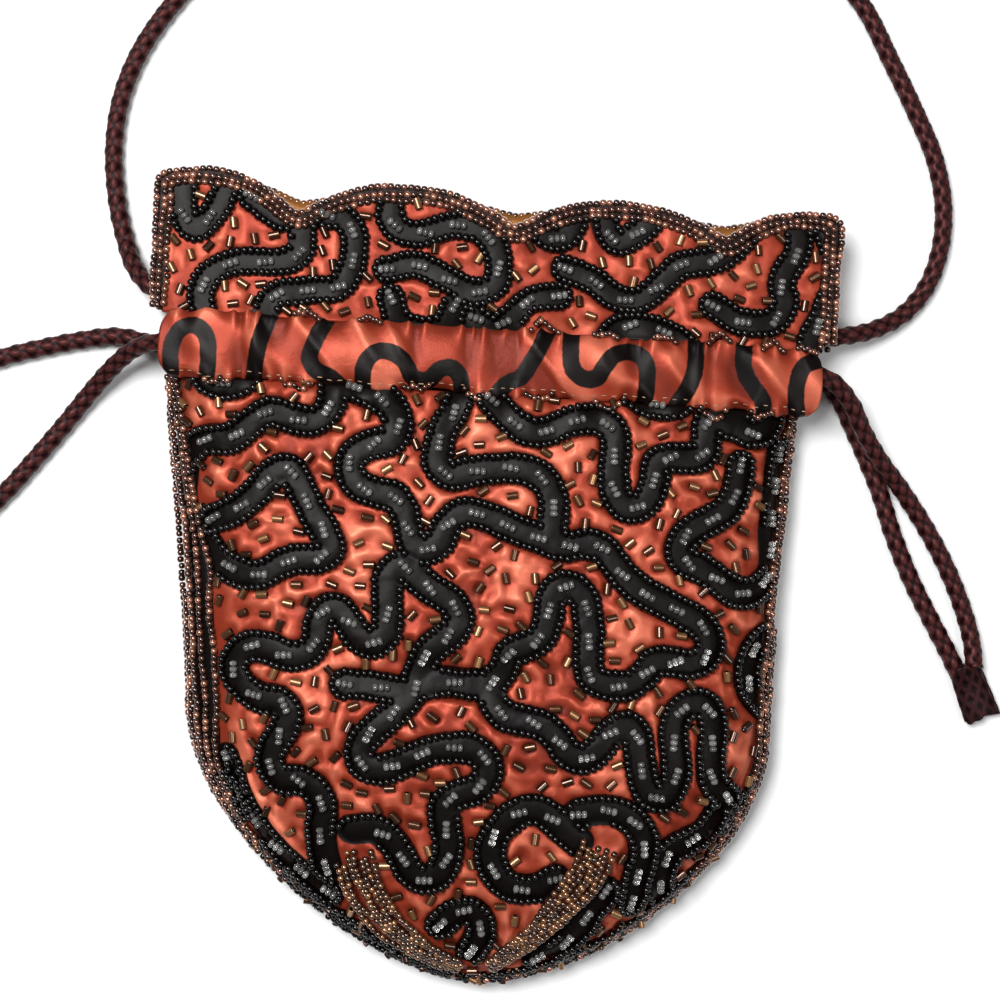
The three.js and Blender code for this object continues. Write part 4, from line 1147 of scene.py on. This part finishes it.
def on_back(x, y):
    """True where the back panel lies inside the seam bands and below the casing."""
    half, _, _ = body_section(y, BACK_SATIN_DEPTH)
    within = np.abs(x - body_centre(y)) < BACK_SHARE * half
    return within & (y < MOUTH_Y - BACK_MOUTH_MARGIN) & (y > TIP_Y + BACK_TIP_MARGIN)


BACK_MEANDERS = [[(2 * float(body_centre(y)) - x, y) for x, y in line] for line in BODY_MEANDERS]

front_face = beaded_face("front_panel", BODY_MEANDERS, front_z, 1, on_front, ROW_HALF, 100)
front_face["folds"] = smooth_line(LEFT_FOLD, 0.5)
front_grid = panel_grid(front_z, FRONT_ROWS, FRONT_COLUMNS, SATIN_DEPTH, FRONT_CROWD)
front_panel = satin_wall(
    "front_panel",
    front_grid,
    panel_grid(front_z, FRONT_ROWS // WALL_STEP, FRONT_COLUMNS // WALL_STEP, LINING_DEPTH, FRONT_CROWD),
    front_face,
    PRINT_HALF,
    110,
    rim_fade(FRONT_ROWS, FRONT_COLUMNS) * under_bands(front_grid),
)
back_face = beaded_face("back_panel", BACK_MEANDERS, back_z, -1, on_back, ROW_HALF, 200)
back_panel = satin_wall(
    "back_panel",
    panel_grid(back_z, BACK_ROWS, BACK_COLUMNS, BACK_SATIN_DEPTH, 0.0)[:, ::-1],
    panel_grid(back_z, BACK_ROWS // WALL_STEP, BACK_COLUMNS // WALL_STEP, LINING_DEPTH, 0.0)[:, ::-1],
    back_face,
    PRINT_HALF,
    210,
    BACK_RELIEF * rim_fade(BACK_ROWS, BACK_COLUMNS),
)

# Casing: a gathered tunnel on each side
CASING_STEPS, CASING_BORE_STEPS, CASING_SIDES = 328, 41, 40
CASING_OVERLAP, CASING_SEAM_SHIFT = 0.9, 1.3  # of its two seams over the cloth beside them
BORE_HALF_HEIGHT, BORE_HALF_THICK = 5.4, 2.55
CASING_FOLD_DEPTH = 0.85  # deepest fold, short of the bore
CASING_PAINTED_SHADE = 0.6  # share of a fold's height that its colour follows, as painted shade in the hollows and painted highlight on the tops
CASING_RELIEF, BORE_PAINTED_SHADE = 0.08, -0.5  # heights that the colour of the plain outside and the bore follow; the bore's low one paints it dark as shade
SEAM_WAVE, SEAM_WAVE_PITCH = 0.11, 12.0
FOLD_WANDER = ((1.2, 17.0), (0.8, 8.0))  # sizes and pitches of the noises that the gathers wander by
FOLD_STRETCH, PUFF_STRETCH, PUFF_SLANT = 0.35, 0.5, 0.8  # of the noises along and across the tunnel
COARSE_WANDER, FINE_WANDER = 4.0, 5.5
FOLDS_FROM, UNDER_FADE = 0.35, 3  # where folds begin at the tunnel's side, and how fast the print ends below
COARSE_FOLD, SLACK_FOLD, FINE_FOLD, FOLD_DROP = 0.3, 1.5, 0.7, 0.25
FINE_PITCH, SLACK_PITCH, SLACK_MEAN = 5.6, 8.0, 0.4
CASING_END_ROUND = 3.0  # by which the seams stop short of the tunnel's ends


def casing_rings(face, steps, half_height, half_thick, shift, seed):
    """Rings of a tunnel along x: ellipses that puff out at the open ends.

    Their two seams are shifted outwards by a fourth power of the way across, to meet the cloth beside them,
    and wave along x by slow noise.
    """
    x = np.linspace(-CASING_HALF_WIDTH, CASING_HALF_WIDTH, steps + 1)[:, None]
    angle = TURN * np.arange(CASING_SIDES)[None, :] / CASING_SIDES
    puff = np.maximum(0, (np.abs(x) - CASING_FLARE_FROM) / (CASING_HALF_WIDTH - CASING_FLARE_FROM))
    thick = half_thick * (1 + CASING_FLARE * puff**2)
    spots = np.stack(np.broadcast_arrays(x, 30 * np.sign(np.cos(angle)), 0.0), axis=-1)
    wave = 1 + SEAM_WAVE * value_noise(spots, SEAM_WAVE_PITCH, seed) * np.cos(angle) ** 2
    across = np.cos(angle) * half_height * wave
    z = casing_z(face, x) + np.sin(angle) * thick + face * shift * np.cos(angle) ** 4
    x = x - np.sign(x) * CASING_END_ROUND * puff**2 * np.cos(angle) ** 4
    return np.stack(np.broadcast_arrays(x, CASING_Y + across, z), axis=-1)


def casing_folds(rings, face, seed):
    """Gathers of a tunnel: ridges that wander and fork, deepest at its two seams, and slanting puffs between.

    They fade towards the flat inside and are never deeper than the cloth over the bore.
    """
    x, y, z = np.moveaxis(rings, -1, 0)
    up = y - CASING_Y
    stretched = np.stack([x, FOLD_STRETCH * up, np.full_like(x, 3.0 * face)], axis=-1)
    slanted = np.stack([x + PUFF_SLANT * up, PUFF_STRETCH * up, np.full_like(x, 9.0 * face)], axis=-1)
    wander = 0
    for number, (size, pitch) in enumerate(FOLD_WANDER):
        wander = wander + size * value_noise(stretched, pitch, seed + number)
    coarse = np.cos(TURN * (x / GATHER_PITCH) + COARSE_WANDER * wander)
    fine = 1 - 2 * np.abs(np.sin(np.pi * x / FINE_PITCH + FINE_WANDER * wander))
    slack = (1 - np.abs(value_noise(slanted, SLACK_PITCH, seed + 2))) ** 3 - SLACK_MEAN
    seam = np.clip(np.abs(up / CASING_HALF_HEIGHT), 0, 1) ** 2
    shown = np.clip(FOLDS_FROM + face * (z - casing_z(face, x)) / CASING_HALF_THICK, 0, 1)
    folds = COARSE_FOLD * coarse + SLACK_FOLD * slack + FINE_FOLD * seam**2 * fine - FOLD_DROP
    return np.maximum(folds, -CASING_FOLD_DEPTH) * shown


def casing(node, face, seed):
    """Gathered tunnel with its print, and its outer rings; the meanders are printed mirrored on the back."""
    reach = CASING_HALF_HEIGHT + CASING_OVERLAP
    outer = casing_rings(face, CASING_STEPS, reach, CASING_HALF_THICK, CASING_SEAM_SHIFT, seed)
    inner = casing_rings(face, CASING_BORE_STEPS, BORE_HALF_HEIGHT, BORE_HALF_THICK, 0.0, seed)
    folds = casing_folds(outer, face, seed)
    middle = np.stack(np.broadcast_arrays(outer[..., 0], CASING_Y, casing_z(face, outer[..., 0])), axis=-1)
    outwards = unit((outer - middle) * [0, 1 / CASING_HALF_HEIGHT, 1 / CASING_HALF_THICK])
    outer = outer + folds[..., None] * outwards
    lines = np.concatenate([smooth_line(points, 0.5) for points in CASING_MEANDERS])
    flat = outer.reshape(-1, 3)
    under = np.maximum(0, -face * (flat[:, 2] - casing_z(face, flat[:, 0])))
    edge = nearest_distance(flat[:, :2], lines * [face, 1]) - CASING_PRINT_HALF + UNDER_FADE * under
    rest = inner.shape[0] * inner.shape[1]
    piece = add_piece(
        f"{node}_satin",
        pipe_mesh(outer, inner),
        SATIN,
        "printed_satin",
        [node],
        print=np.concatenate([edge, np.full(rest, UNPRINTED)]),
        # The colour follows the folds as painted shade in their hollows and painted highlight on their tops;
        # the bore is painted dark as shade
        relief=np.concatenate([CASING_PAINTED_SHADE * folds.ravel() + CASING_RELIEF, np.full(rest, BORE_PAINTED_SHADE)]),
    )
    return piece, outer


front_casing, front_tunnel = casing("front_casing", 1, 300)
back_casing, _ = casing("back_casing", -1, 310)

# Headings: scalloped flaps whose outer faces are beaded
HEADING_ROWS, HEADING_COLUMNS = 56, 256
HEADING_HALF = HEADING_EDGE + 0.3
HEADING_FOOT_NARROWS = 0.03  # share of its width that the cloth loses at its foot
HEADING_REACH = {1: 0.5, -1: 0.9}  # of the cloth above the edging's middle
CORNER_DROP, CORNER_WIDTH, FOOT_SHARE = 1.1, 4.0, 0.2
FOOT_CLEAR, SIDE_CLEAR, EDGE_CLEAR = 1.2, 3.6, 3.2  # of the sewn beads from foot, sides and edging
HEADING_RELIEF, HEADING_RIM = 0.6, 4
EDGING_PAINTED_SHADE_WIDTH = 2.4  # width of the cloth under the edging that is printed black as painted shade between its beads
HEADING_FACE, HEADING_LINING = 0.45, 0.7  # of the two faces from the cloth's middle


def heading_grid(face, rows, columns, offset):
    """Face of a heading: rows from its foot to just below its bead edging, an offset above its middle."""
    x = np.linspace(-HEADING_HALF, HEADING_HALF, columns + 1)[None, :]
    top = scallop_y(face, x) - EDGING_BELOW + HEADING_REACH[face]
    corner = np.clip((np.abs(x) - HEADING_EDGE + CORNER_WIDTH) / CORNER_WIDTH, 0, 1)
    top = top - CORNER_DROP * corner**2
    up = np.linspace(0, 1, rows + 1)[:, None]
    y = lerp(HEADING_FOOT, top, up)
    x = x * (1 - HEADING_FOOT_NARROWS * np.clip(1 - up / FOOT_SHARE, 0, 1))
    return np.stack([x, y, heading_z(face, x, y) + offset], axis=-1)


def heading(name, face, seed):
    """Beaded heading of the front (+1) or back (-1), with its lining on the inner side."""
    meanders = [[(face * x, y) for x, y in line] for line in HEADING_MEANDERS]

    def height(x, y):
        """Beaded face of the cloth."""
        return heading_z(face, x, y) + face * HEADING_FACE

    def shows(x, y):
        """True where the cloth shows between its foot, its sides and the edging."""
        high = scallop_y(face, x) - EDGING_BELOW - EDGE_CLEAR
        return (np.abs(x) < HEADING_EDGE - SIDE_CLEAR) & (y > HEADING_FOOT + FOOT_CLEAR) & (y < high)

    def bound(x, y):
        """Distance that prints the cloth black where the edging's beads lie on it, as painted shade between
        them.
        """
        inside = np.minimum(HEADING_EDGE - np.abs(x), scallop_y(face, x) - EDGING_BELOW - y)
        return HEADING_PRINT_HALF + inside - EDGING_PAINTED_SHADE_WIDTH

    beads = beaded_face(name, meanders, height, face, shows, HEADING_ROW_HALF, seed)
    beads["bound"] = bound
    outer = heading_grid(face, HEADING_ROWS, HEADING_COLUMNS, face * HEADING_FACE)
    rows, columns = HEADING_ROWS // WALL_STEP, HEADING_COLUMNS // WALL_STEP
    inner = heading_grid(face, rows, columns, -face * HEADING_LINING)
    if face < 0:
        outer, inner = outer[:, ::-1], inner[:, ::-1]
    fade = HEADING_RELIEF * rim_fade(HEADING_ROWS, HEADING_COLUMNS, HEADING_RIM)
    cloth = satin_wall(name, outer, inner, beads, HEADING_PRINT_HALF, seed + 10, fade)
    return cloth, beads


front_heading, front_heading_face = heading("front_heading", 1, 400)
back_heading, back_heading_face = heading("back_heading", -1, 500)


# Strings of bronze beads, and the sheet under them, printed black as painted shade between the strings
STRING_STARTS = 8  # places within a pitch at which a string can begin
STRUNG_LENGTH = 1.08  # of a strung bead, in pitches
STRING_STANDOFF = 0.6  # of a seam's middle strings off the sheet under them
SHORT_STRINGS = {0: 20.0, 2: -6.0}  # strings of a seam that end short of the mouth, and their ends' y
BASE_BEADS_KEPT = 0.6  # share of the black beads that are left on the strings round the base


def strung(strings, jitter, rng, pitch=BRONZE_PITCH):
    """Places and ways of round beads threaded close together along several strings, each a little off
    its line."""
    fine = [even_points(string, pitch / STRING_STARTS) for string in strings]
    fine = [row[rng.integers(0, STRING_STARTS) :: STRING_STARTS] for row in fine]
    ways = np.concatenate([np.gradient(row, axis=0) for row in fine])
    places = np.concatenate(fine)
    return places + rng.normal(0, jitter, places.shape), ways


def upwards(places):
    return np.broadcast_to([0.0, 0.0, 1.0], places.shape)


EDGING_ROWS = ((-0.6, 0.1), (1.1, 0.5), (2.75, 0.8))  # shift inwards and rise of each row of the edging
EDGING_FOOT = 0.8  # of the edging's ends above a heading's foot
EDGING_STEP, EDGING_JITTER = 0.6, 0.05
EDGING_WANDER, EDGING_WANDER_PITCH, EDGING_WANDER_SEED = 0.35, 6.0, 620


def rounded(line):
    """The same line with its corners rounded: each point is the mean of the nine points about it."""
    padded = np.pad(line, ((4, 4), (0, 0)), mode="edge")
    return np.stack([np.convolve(column, np.ones(9) / 9, "valid") for column in padded.T], axis=1)


def edging_line(face, shift, rise):
    """Line of edging beads: up the left side, along the scallops and down the right, shifted inwards and
    raised."""
    x = np.linspace(-HEADING_EDGE, HEADING_EDGE, 400)
    top = np.stack([x, scallop_y(face, x) - EDGING_BELOW], axis=1)
    foot = np.linspace(HEADING_FOOT + EDGING_FOOT, top[0, 1] - 1, 40)
    left = np.stack([np.full(40, -HEADING_EDGE), foot], axis=1)
    foot = np.linspace(top[-1, 1] - 1, HEADING_FOOT + EDGING_FOOT, 40)
    right = np.stack([np.full(40, HEADING_EDGE), foot], axis=1)
    line = rounded(even_points(np.concatenate([left, top, right]), EDGING_STEP))
    along = unit(rounded(unit(np.gradient(line, axis=0))))
    spots = np.column_stack([line, np.full(len(line), 20 * shift)])
    shift = shift + EDGING_WANDER * value_noise(spots, EDGING_WANDER_PITCH, EDGING_WANDER_SEED)
    line = line + shift[:, None] * np.stack([along[:, 1], -along[:, 0]], axis=1)
    return lifted(line, lambda x, y: heading_z(face, x, y) + face * rise)


def edging(name, face, seed):
    """Bead edging of a heading: three rows side by side along its free edge and sides."""
    rng = np.random.default_rng(seed)
    lines = [edging_line(face, shift, rise) for shift, rise in EDGING_ROWS]
    places, ways = strung(lines, EDGING_JITTER, rng, EDGING_PITCH)
    size = (STRUNG_LENGTH * EDGING_PITCH, EDGING_BEAD)
    return bead_piece(
        f"{name}_beads", SEED_BEAD, places, ways, upwards(places), size, SEED_BRONZE, seed + 1, [name]
    )


edging("front_edging", 1, 600)
edging("back_edging", -1, 610)


def side_inset(y, z):
    """How far in from the outline the panels lie at height z: the two panels' sections, solved for the
    width."""
    half, _, mouth = body_section(y, 0)
    share = np.clip((z - SEAM_Z) / np.maximum(crown_height(y), 1e-6), 0, 1) ** CROWN_POWER
    over = half * (1 - (1 - share) ** (1 / lerp(BELLY_EDGE, MOUTH_EDGE, mouth)))
    under = half * (1 - FLAT_SHARE) * (1 - np.sqrt(np.clip(z / SEAM_Z, 0, 1)))
    return np.where(z >= SEAM_Z, over, under)


SEAM_STEPS, SEAM_JITTER = 304, 0.1
SEAM_WANDER, SEAM_WANDER_PITCH = 0.05, 11.0  # of a string across its band, in shares of the band's height
STRING_CROWD, STRING_LIFT = 0.4, 0.4  # crowding to the band's upper edge, and lift in bead widths
STANDOFF_AT, STANDOFF_WIDTH = 0.2, 0.4
# Sheet under a seam band's strings: printed black as painted shade between them, with orange satin in patches
# round the base
SHEET_REACH, SHEET_COLUMNS = 0.92, 13
SHEET_FACE, SHEET_BACK = 0.25, 0.4  # of its faces off the panels' outer face and below their satin
PATCH_EASE, PATCH, PATCH_PITCH = 8, 1.5, 9.0


def seam_surface(name, steps, shares, offset, wander=0.0, seed=0):
    """Surface over a side seam: along the body's outline, at shares of the band's height, an offset off
    the panels.

    The wander shifts each share slowly along the seam.
    """
    side, _, below, _ = SEAM_BANDS[name]
    y = row_y(np.linspace(SEAM_BAND_TIP, 1, steps + 1))
    half, rise, _ = body_section(y, 0)
    outline = np.stack([body_centre(y) + side * half, y], axis=1)
    along = unit(np.gradient(outline, axis=0))
    out = side * np.stack([along[:, 1], -along[:, 0]], axis=1)
    high = SEAM_Z + band_height(name, y)
    low = SEAM_Z - np.minimum(below, SEAM_BAND_LIMIT * SEAM_Z * rise)
    spots = np.stack(np.broadcast_arrays(y[:, None], 0.0, 40 * shares[None, :]), axis=-1)
    shares = np.maximum(shares[None, :] + wander * value_noise(spots, SEAM_WANDER_PITCH, seed), 0)
    z = lerp(low[:, None], high[:, None], shares)
    tuck = SATIN_DEPTH * np.clip((shares - TUCK_FROM) / (1 - TUCK_FROM), 0, 1)
    shift = offset - tuck - side_inset(y[:, None], z) * out[:, :1] ** 2
    return np.concatenate([outline[:, None, :] + out[:, None, :] * shift[..., None], z[..., None]], axis=-1)


def seam_band(name, seed):
    """Bundle of bead strings over a side seam, bronze down to the base, on a sheet that is printed black
    as painted shade between the strings.

    Round the base the strings are black and gappy, and the sheet shows orange satin in patches.
    """
    rng = np.random.default_rng(seed)
    side, _, _, count = SEAM_BANDS[name]
    node = f"{name}_seam_band"
    t = np.linspace(0.02, 1, count)
    shares = t * (1 + STRING_CROWD - STRING_CROWD * t)
    standoff = STRING_STANDOFF * bell(shares - STANDOFF_AT, STANDOFF_WIDTH)
    off = SEAM_BAND_CLEAR + STRING_LIFT * BRONZE_BEAD + standoff
    strings = np.moveaxis(seam_surface(name, SEAM_STEPS, shares, off, SEAM_WANDER, seed), 1, 0)
    ends = [SHORT_STRINGS.get(number, MOUTH_Y + 1) for number in range(count)]
    strings = [string[string[:, 1] < end] for string, end in zip(strings, ends)]
    places, ways = strung(strings, SEAM_JITTER, rng)
    size = (STRUNG_LENGTH * BRONZE_PITCH, BRONZE_BEAD)
    bronze = places[:, 1] + rng.normal(0, BRONZE_END_BLUR, len(places)) > BRONZE_ENDS_Y[name]
    black = ~bronze & (rng.uniform(0, 1, len(places)) < BASE_BEADS_KEPT)
    for suffix, chosen, material in (("beads", bronze, SEED_BRONZE), ("black_beads", black, BLACK_GLASS)):
        where = places[chosen]
        nodes = [node] if suffix == "beads" else ()
        way, up = ways[chosen], upwards(where)
        bead_piece(f"{node}_{suffix}", SEED_BEAD, where, way, up, size, material, seed + 1, nodes)
    across = np.linspace(0, SHEET_REACH, SHEET_COLUMNS)[::side]
    outer = seam_surface(name, SEAM_STEPS, across, SHEET_FACE)
    depth = -SATIN_DEPTH - SHEET_BACK
    inner = seam_surface(name, SEAM_STEPS // WALL_STEP, across[::WALL_STEP], depth)
    shape = wall_mesh(outer, inner, WALL_STEP)
    # Black under the strings as painted shade between them; orange patches round the base are satin showing
    # through
    patches = np.clip((BRONZE_ENDS_Y["left"] - shape[0][:, 1]) / PATCH_EASE, -UNPRINTED, 1)
    patches = patches + PATCH * value_noise(shape[0], PATCH_PITCH, seed + 2)
    flat = np.zeros(len(patches))
    satin_and_shade_sheet = add_piece(f"{name}_seam_satin_and_shade_sheet", shape, SATIN, "printed_satin", print=patches, relief=flat)


BUNCH_TOP, BUNCH_SPACING, BUNCH_BUGLE_SPACING = -52.0, 1.5, 4.6
BUNCH_PITCH, BUNCH_GAPS, BUNCH_BLUR = 5.0, -0.15, 3  # of the noise that leaves gaps, and of the bunches' top
BUNCH_SHARES, BUNCH_LIFT = np.linspace(1.05, 1.6, 8), 0.45
BUNCH_BUGLE_SHARES, BUNCH_BUGLE_LIFT = np.linspace(0.25, 1.0, 6), 0.8
BUNCH_TILT = [1, 1, 0.3]


def strewn(name, shares, off, top, spacing, rng):
    """Places strewn over a share of a seam's height round the base, a spacing apart and beside the darts."""
    spots = seam_surface(name, SEAM_STEPS, shares, off).reshape(-1, 3)
    spots = rng.permutation(spots[spots[:, 1] + rng.normal(0, BUNCH_BLUR, len(spots)) < top])
    spots = spots[spread_out(spots, spacing)]
    return spots[clear_of_darts(spots[:, 0], spots[:, 1])]


def base_bunch(name, seed):
    """Loose black beads over the seam band's upper edge round the base, and bugles among its strings."""
    rng = np.random.default_rng(seed)
    black = strewn(name, BUNCH_SHARES, BUNCH_LIFT * BLACK_BEAD, BUNCH_TOP, BUNCH_SPACING, rng)
    black = black[value_noise(black, BUNCH_PITCH, seed) > BUNCH_GAPS]
    off, top = BUNCH_BUGLE_LIFT * BRONZE_BEAD, BRONZE_ENDS_Y["left"]
    cut = strewn(name, BUNCH_BUGLE_SHARES, off, top, BUNCH_BUGLE_SPACING, rng)
    sizes = ((BLACK_PITCH, BLACK_BEAD), (BUGLE_LENGTH, BUGLE_WIDTH))
    for suffix, spots, shape, size, material, bore in (
        ("bunch_beads", black, SEED_BEAD, sizes[0], BLACK_GLASS, None),
        ("bunch_bugles", cut, BUGLE, sizes[1], BUGLE_GLASS, BUGLE_BORE_PAINTED_SHADE),
    ):
        ways, normals = unit(rng.normal(0, 1, (2, *spots.shape)) * BUNCH_TILT)
        bead_piece(f"{name}_base_{suffix}", shape, spots, ways, normals, size, material, seed + 1, bore=bore)


DART_WANDER, DART_WANDER_PITCH, DART_JITTER = 0.22, 7.0, 0.12
DART_STAGGER, DART_RISE = 6, 7  # steps by which the strings' upper ends differ, and over which they come up
DART_SINK, DART_STANDOFF = 1.9, 1.2  # of a string's upper end into the satin, and of the rest off the solid


def base_band(name, seed):
    """Bundle of bead strings over a dart of the base: side by side on the front panel, closing up to the tip.

    Each string comes up out of the satin a little further along than its neighbours.
    """
    line, half = dart_line(BASE_BANDS[name])
    half = half - 0.5 * DART_BEAD
    along = unit(np.gradient(line, axis=0))
    across = np.stack([-along[:, 1], along[:, 0]], axis=1)
    rng = np.random.default_rng(seed)
    strings = []
    for share in np.linspace(-1, 1, BASE_STRINGS):
        spots = np.column_stack([line, np.full(len(line), 30 * share)])
        wander = DART_WANDER * value_noise(spots, DART_WANDER_PITCH, seed)
        string = (line + ((share + wander) * half)[:, None] * across)[rng.integers(0, DART_STAGGER) :]
        string = lifted(string, lambda x, y: front_z(x, y, 0) + DART_STANDOFF)
        string[:, 2] -= DART_SINK * np.clip(1 - np.arange(len(string)) / DART_RISE, 0, 1) ** 2
        strings.append(string)
    node = f"{name}_base_band"
    places, ways = strung(strings, DART_JITTER, rng, DART_PITCH)
    size = (STRUNG_LENGTH * DART_PITCH, DART_BEAD)
    return bead_piece(
        f"{node}_beads", SEED_BEAD, places, ways, upwards(places), size, DART_BRONZE, seed + 1, [node]
    )


for number, name in enumerate(SEAM_BANDS):
    seam_band(name, 700 + 10 * number)
    base_bunch(name, 730 + 10 * number)
for number, name in enumerate(BASE_BANDS):
    base_band(name, 750 + 10 * number)


LOWER_SEAM, UPPER_SEAM, STITCH_LINE = 18, 2, 16  # places round the front tunnel's rings
CLUSTER_BEADS, CLUSTER_HALF, CLUSTER_SIZE = 7, 3.4, (1.4, 1.6)
CLUSTER_SPREAD, CLUSTER_SAG, CLUSTER_JITTER, CLUSTER_LIFT = (0.7, 1.1), (0.3, 2.6), 0.2, 0.7
STITCH_EVERY, STITCH_FROM, STITCH_SIZE = 5, 6, (1.4, 0.27)


def seam_clusters():
    """Little loops of bronze beads along the casing's seams: each a few beads on a sagging curve."""
    rng = np.random.default_rng(800)
    share = np.linspace(-1, 1, CLUSTER_BEADS)
    places = []
    for x, y in SEAM_CLUSTERS:
        seam = front_tunnel[:, LOWER_SEAM if y < CASING_Y else UPPER_SEAM]
        outwards = -1 if y < CASING_Y else 1
        across = x + rng.uniform(*CLUSTER_SPREAD) * CLUSTER_HALF * share
        sag = rng.uniform(*CLUSTER_SAG) * (1 - share**2) + rng.normal(0, CLUSTER_JITTER, CLUSTER_BEADS)
        down = np.interp(across, seam[:, 0], seam[:, 1]) + outwards * sag
        top = np.interp(across, seam[:, 0], seam[:, 2])
        top = np.maximum(top, front_z(across, down)) + CLUSTER_LIFT
        places.append(np.column_stack([across, down, top]))
    places = np.concatenate(places)
    ways = np.gradient(places, axis=0)
    up = upwards(places)
    return bead_piece("casing_seam_beads", SEED_BEAD, places, ways, up, CLUSTER_SIZE, SEED_BRONZE, 810)


def seam_stitches():
    """Running stitch along the casing's lower seam: thread that shows for one and a half millimetres at
    a time."""
    places = front_tunnel[STITCH_FROM:-STITCH_FROM:STITCH_EVERY, STITCH_LINE]
    ways = np.gradient(places, axis=0)
    up = upwards(places)
    return bead_piece("casing_stitches", SEED_BEAD, places, ways, up, STITCH_SIZE, THREAD, 820)


casing_stitches = seam_stitches()
casing_beads = seam_clusters()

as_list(front_face["pieces"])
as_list(back_face["pieces"])
for cloth, beads in ((front_heading, front_heading_face), (back_heading, back_heading_face)):
    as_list(beads["pieces"])

# Floor and soft light from the upper left
FLOOR_HALF = 1.5
floor_mesh = bpy.data.meshes.new("floor")
corners = [(FLOOR_HALF * x, FLOOR_HALF * y, 0) for x, y in ((-1, -1), (1, -1), (1, 1), (-1, 1))]
floor_mesh.from_pydata(corners, [], [(0, 1, 2, 3)])
floor_mesh.materials.append(paper_material())
floor = bpy.data.objects.new("floor", floor_mesh)
bpy.context.scene.collection.objects.link(floor)

LAMP_AIM = np.array([0.0, 0.0, 0.01])
LAMPS = {
    "window": ((-0.3, 0.28, 1.0), 0.45, 19.0),
    "fill": ((0.55, -0.1, 1.0), 0.4, 4.0),
}  # place and size in metres, power in watts
for name, (place, size, power) in LAMPS.items():
    lamp = bpy.data.lights.new(name, "AREA")
    lamp.size = size
    lamp.energy = power
    holder = bpy.data.objects.new(name, lamp)
    holder.location = place
    towards = LAMP_AIM - np.array(place)
    tilt = math.acos(-towards[2] / np.linalg.norm(towards))
    holder.rotation_euler = (tilt, 0, math.atan2(-towards[0], towards[1]))
    bpy.context.scene.collection.objects.link(holder)

world = bpy.data.worlds.new("studio")
world.use_nodes = True
world.node_tree.nodes["Background"].inputs["Color"].default_value = colour("#FFFFFF")
world.node_tree.nodes["Background"].inputs["Strength"].default_value = 0.16
bpy.context.scene.world = world
bpy.context.scene.view_settings.view_transform = "Standard"
